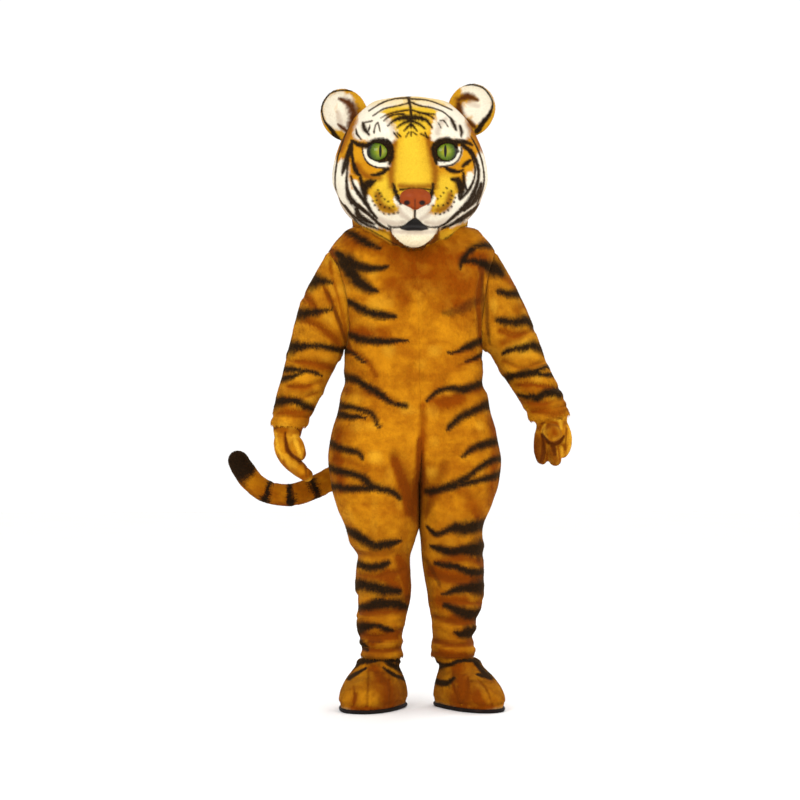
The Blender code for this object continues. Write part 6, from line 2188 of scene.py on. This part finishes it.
def zipLine(x, off, heights):    # points down the back, x off the centre seam
    lean = readAt(suitRows, "height", heights)["lean"]
    return np.stack([lean + x, backAt(x, heights) + off, heights - shoulder], axis=1)


def tapeMaterial():
    # woven polyester zip tape, dyed to the plush: a herringbone rib 1.2 mm wide, matt
    made, tree, shader, place = newMaterial("wovenZipTape", {"Roughness": 0.80, "IOR": 1.5,
                                                             "Specular IOR Level": 0.3, "Sheen Weight": 0.1})
    weave = addNode(tree, "TexWave", {"Vector": place, "Scale": 130.0, "Distortion": 1.5, "Detail": 1.0},
                    bands_direction="DIAGONAL")
    worn = addNode(tree, "TexNoise", {"Vector": place, "Scale": 60.0, "Detail": 3.0})
    tone = addNode(tree, "MixRGB", {"Fac": weave.outputs["Fac"], "Color1": "#7C4E14", "Color2": "#B37A2A"})
    tone = addNode(tree, "MixRGB", {"Fac": worn, "Color1": tone, "Color2": "#9A6620"})
    finishSurface(tree, shader, tone, weave.outputs["Fac"], 0.5, 0.0004)
    return made


def metalMaterial():
    # die-cast brass-plated zinc: satin, patchy in tone, with fine scratches
    made, tree, shader, place = newMaterial("brassPlatedZinc", {"Metallic": 1.0, "Roughness": 0.3})
    scratch = addNode(tree, "TexNoise", {"Vector": place, "Scale": 900.0, "Detail": 3.0})     # 1 mm
    cloud = addNode(tree, "TexNoise", {"Vector": place, "Scale": 180.0, "Detail": 2.0})
    tone = addNode(tree, "MixRGB", {"Fac": cloud, "Color1": "#A98444", "Color2": "#D9BC7C"})
    rough = addNode(tree, "MapRange", {"Value": scratch, "To Min": 0.22, "To Max": 0.45})
    finishSurface(tree, shader, tone, scratch, 0.15, 0.0002, Roughness=rough)
    return made


def threadMaterial():
    # spun polyester sewing thread, dyed to the plush: two twisted plies, slightly shiny
    made, tree, shader, place = newMaterial("polyesterThread", {"Roughness": 0.55, "IOR": 1.5,
                                                                "Sheen Weight": 0.2})
    twist = addNode(tree, "TexWave", {"Vector": place, "Scale": 500.0}, bands_direction="DIAGONAL")
    tone = addNode(tree, "MixRGB", {"Fac": twist.outputs["Fac"], "Color1": "#8A5A1C", "Color2": "#D8A04A"})
    finishSurface(tree, shader, tone)
    return made


def boxesAt(middles, halves, name):  # one joined mesh of small boxes
    signs = np.array([(x, y, z) for x in (-1, 1) for y in (-1, 1) for z in (-1, 1)], float)
    quads = np.array([(0, 1, 3, 2), (4, 6, 7, 5), (0, 4, 5, 1), (2, 3, 7, 6), (0, 2, 6, 4), (1, 5, 7, 3)])
    points = middles[:, None] + signs * np.asarray(halves)
    faces = (quads + np.arange(len(middles))[:, None, None] * 8).reshape(-1, 4)
    return meshFrom(name, points.reshape(-1, 3), faces.tolist(), False)


def addZip():
    rows = np.linspace(backZip["top"], backZip["bottom"], 150)
    tapes = []
    for side in (-1, 1):
        columns = side * np.linspace(backZip["split"], backZip["wide"] / 2, 9)
        outer = np.stack([zipLine(x, backZip["off"] + backZip["thick"], rows) for x in columns], axis=1)
        inner = np.stack([zipLine(x, backZip["off"], rows) for x in columns], axis=1)
        tapes.append(wallMesh("tape", outer, inner, 1, False, {}))
    both = joined("zipTapes", tapes)
    both.shade_smooth()
    piece = addObject("zipTapes", both, tapeMaterial())
    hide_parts("zip_tape")
    heights = np.arange(backZip["top"] - 0.004, backZip["bottom"] + 0.002, -backZip["pitch"])
    side = np.where(np.arange(len(heights)) % 2 == 0, -1.0, 1.0)
    apart = np.where(heights > backZip["slider"], *backZip["apart"])
    teeth = zipLine(0.0, backZip["off"] + backZip["thick"] + 0.0002, heights)
    teeth[:, 0] += side * apart
    metal = metalMaterial()
    coil = boxesAt(teeth, np.array(backZip["tooth"]) / 2, "zipTeeth")
    coil = worked(coil, ("BEVEL", {"width": backZip["bevel"], "segments": 2}))
    piece = addObject("zipTeeth", coil, metal)
    heights = np.arange(backZip["top"] - 0.005, backZip["bottom"] + 0.004, -backZip["stitchPitch"])
    seams = [zipLine(side * backZip["stitchAt"], backZip["off"] + backZip["thick"] + 0.0001, heights)
             for side in (-1, 1)]
    stitches = boxesAt(np.concatenate(seams), np.array(backZip["stitch"]) / 2, "zipStitches")
    stitches = worked(stitches, ("BEVEL", {"width": backZip["bevel"], "segments": 2}))
    piece = addObject("zipStitches", stitches, threadMaterial())
    for node in ("zip_slider", "zip_pull"):
        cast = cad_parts[node]
        cast.data.materials.clear()
        cast.data.materials.append(metal)


addZip()
print("zip ready")


# Floor, light and finish
def addStudio():
    half = studio["floor"] / 2
    floor = meshFrom("studioFloor", [(-half, -half, 0), (half, -half, 0), (half, half, 0), (-half, half, 0)],
                     [(0, 1, 2, 3)], False)
    # matt paint, near white
    made, tree, shader, place = newMaterial("paintedStudioFloor", {"Roughness": 0.7, "IOR": 1.45})
    speck = addNode(tree, "TexNoise", {"Vector": place, "Scale": 3.0, "Detail": 4.0})
    tone = addNode(tree, "MixRGB", {"Fac": speck, "Color1": "#F7F6F4", "Color2": "#FCFBFA"})
    finishSurface(tree, shader, tone)
    ground = addObject("studioFloor", floor, made, None)
    ground.location = (0, 0, -shoulder)
    world = bpy.data.worlds.new("studioWorld")
    world.use_nodes = True
    world.node_tree.nodes["Background"].inputs["Color"].default_value = (1.0, 1.0, 1.0, 1.0)
    world.node_tree.nodes["Background"].inputs["Strength"].default_value = studio["sky"]
    bpy.context.scene.world = world
    for name, (size, power, at, look) in studio["lamps"].items():
        lamp = bpy.data.lights.new(name, "AREA")
        lamp.shape, lamp.size, lamp.energy = "SQUARE", size, power
        holder = bpy.data.objects.new(name, lamp)
        holder.location = at
        holder.rotation_euler = (Vector(look) - Vector(at)).to_track_quat("-Z", "Y").to_euler()
        bpy.context.scene.collection.objects.link(holder)


studio = {
    "floor": 28.0,
    "sky": 1.06,
    "lamps": {
        "keySoftbox": (2.2, 120.0, (-2.4, -5.2, 2.4), (0, 0, -0.3)),
        "fillSoftbox": (2.6, 60.0, (3.2, -4.4, 1.0), (0, 0, -0.4)),
        "rimSoftbox": (1.8, 60.0, (2.4, 3.6, 2.6), (0, 0, -0.2)),
    },
}
addStudio()
bpy.context.scene.view_settings.view_transform = "Standard"
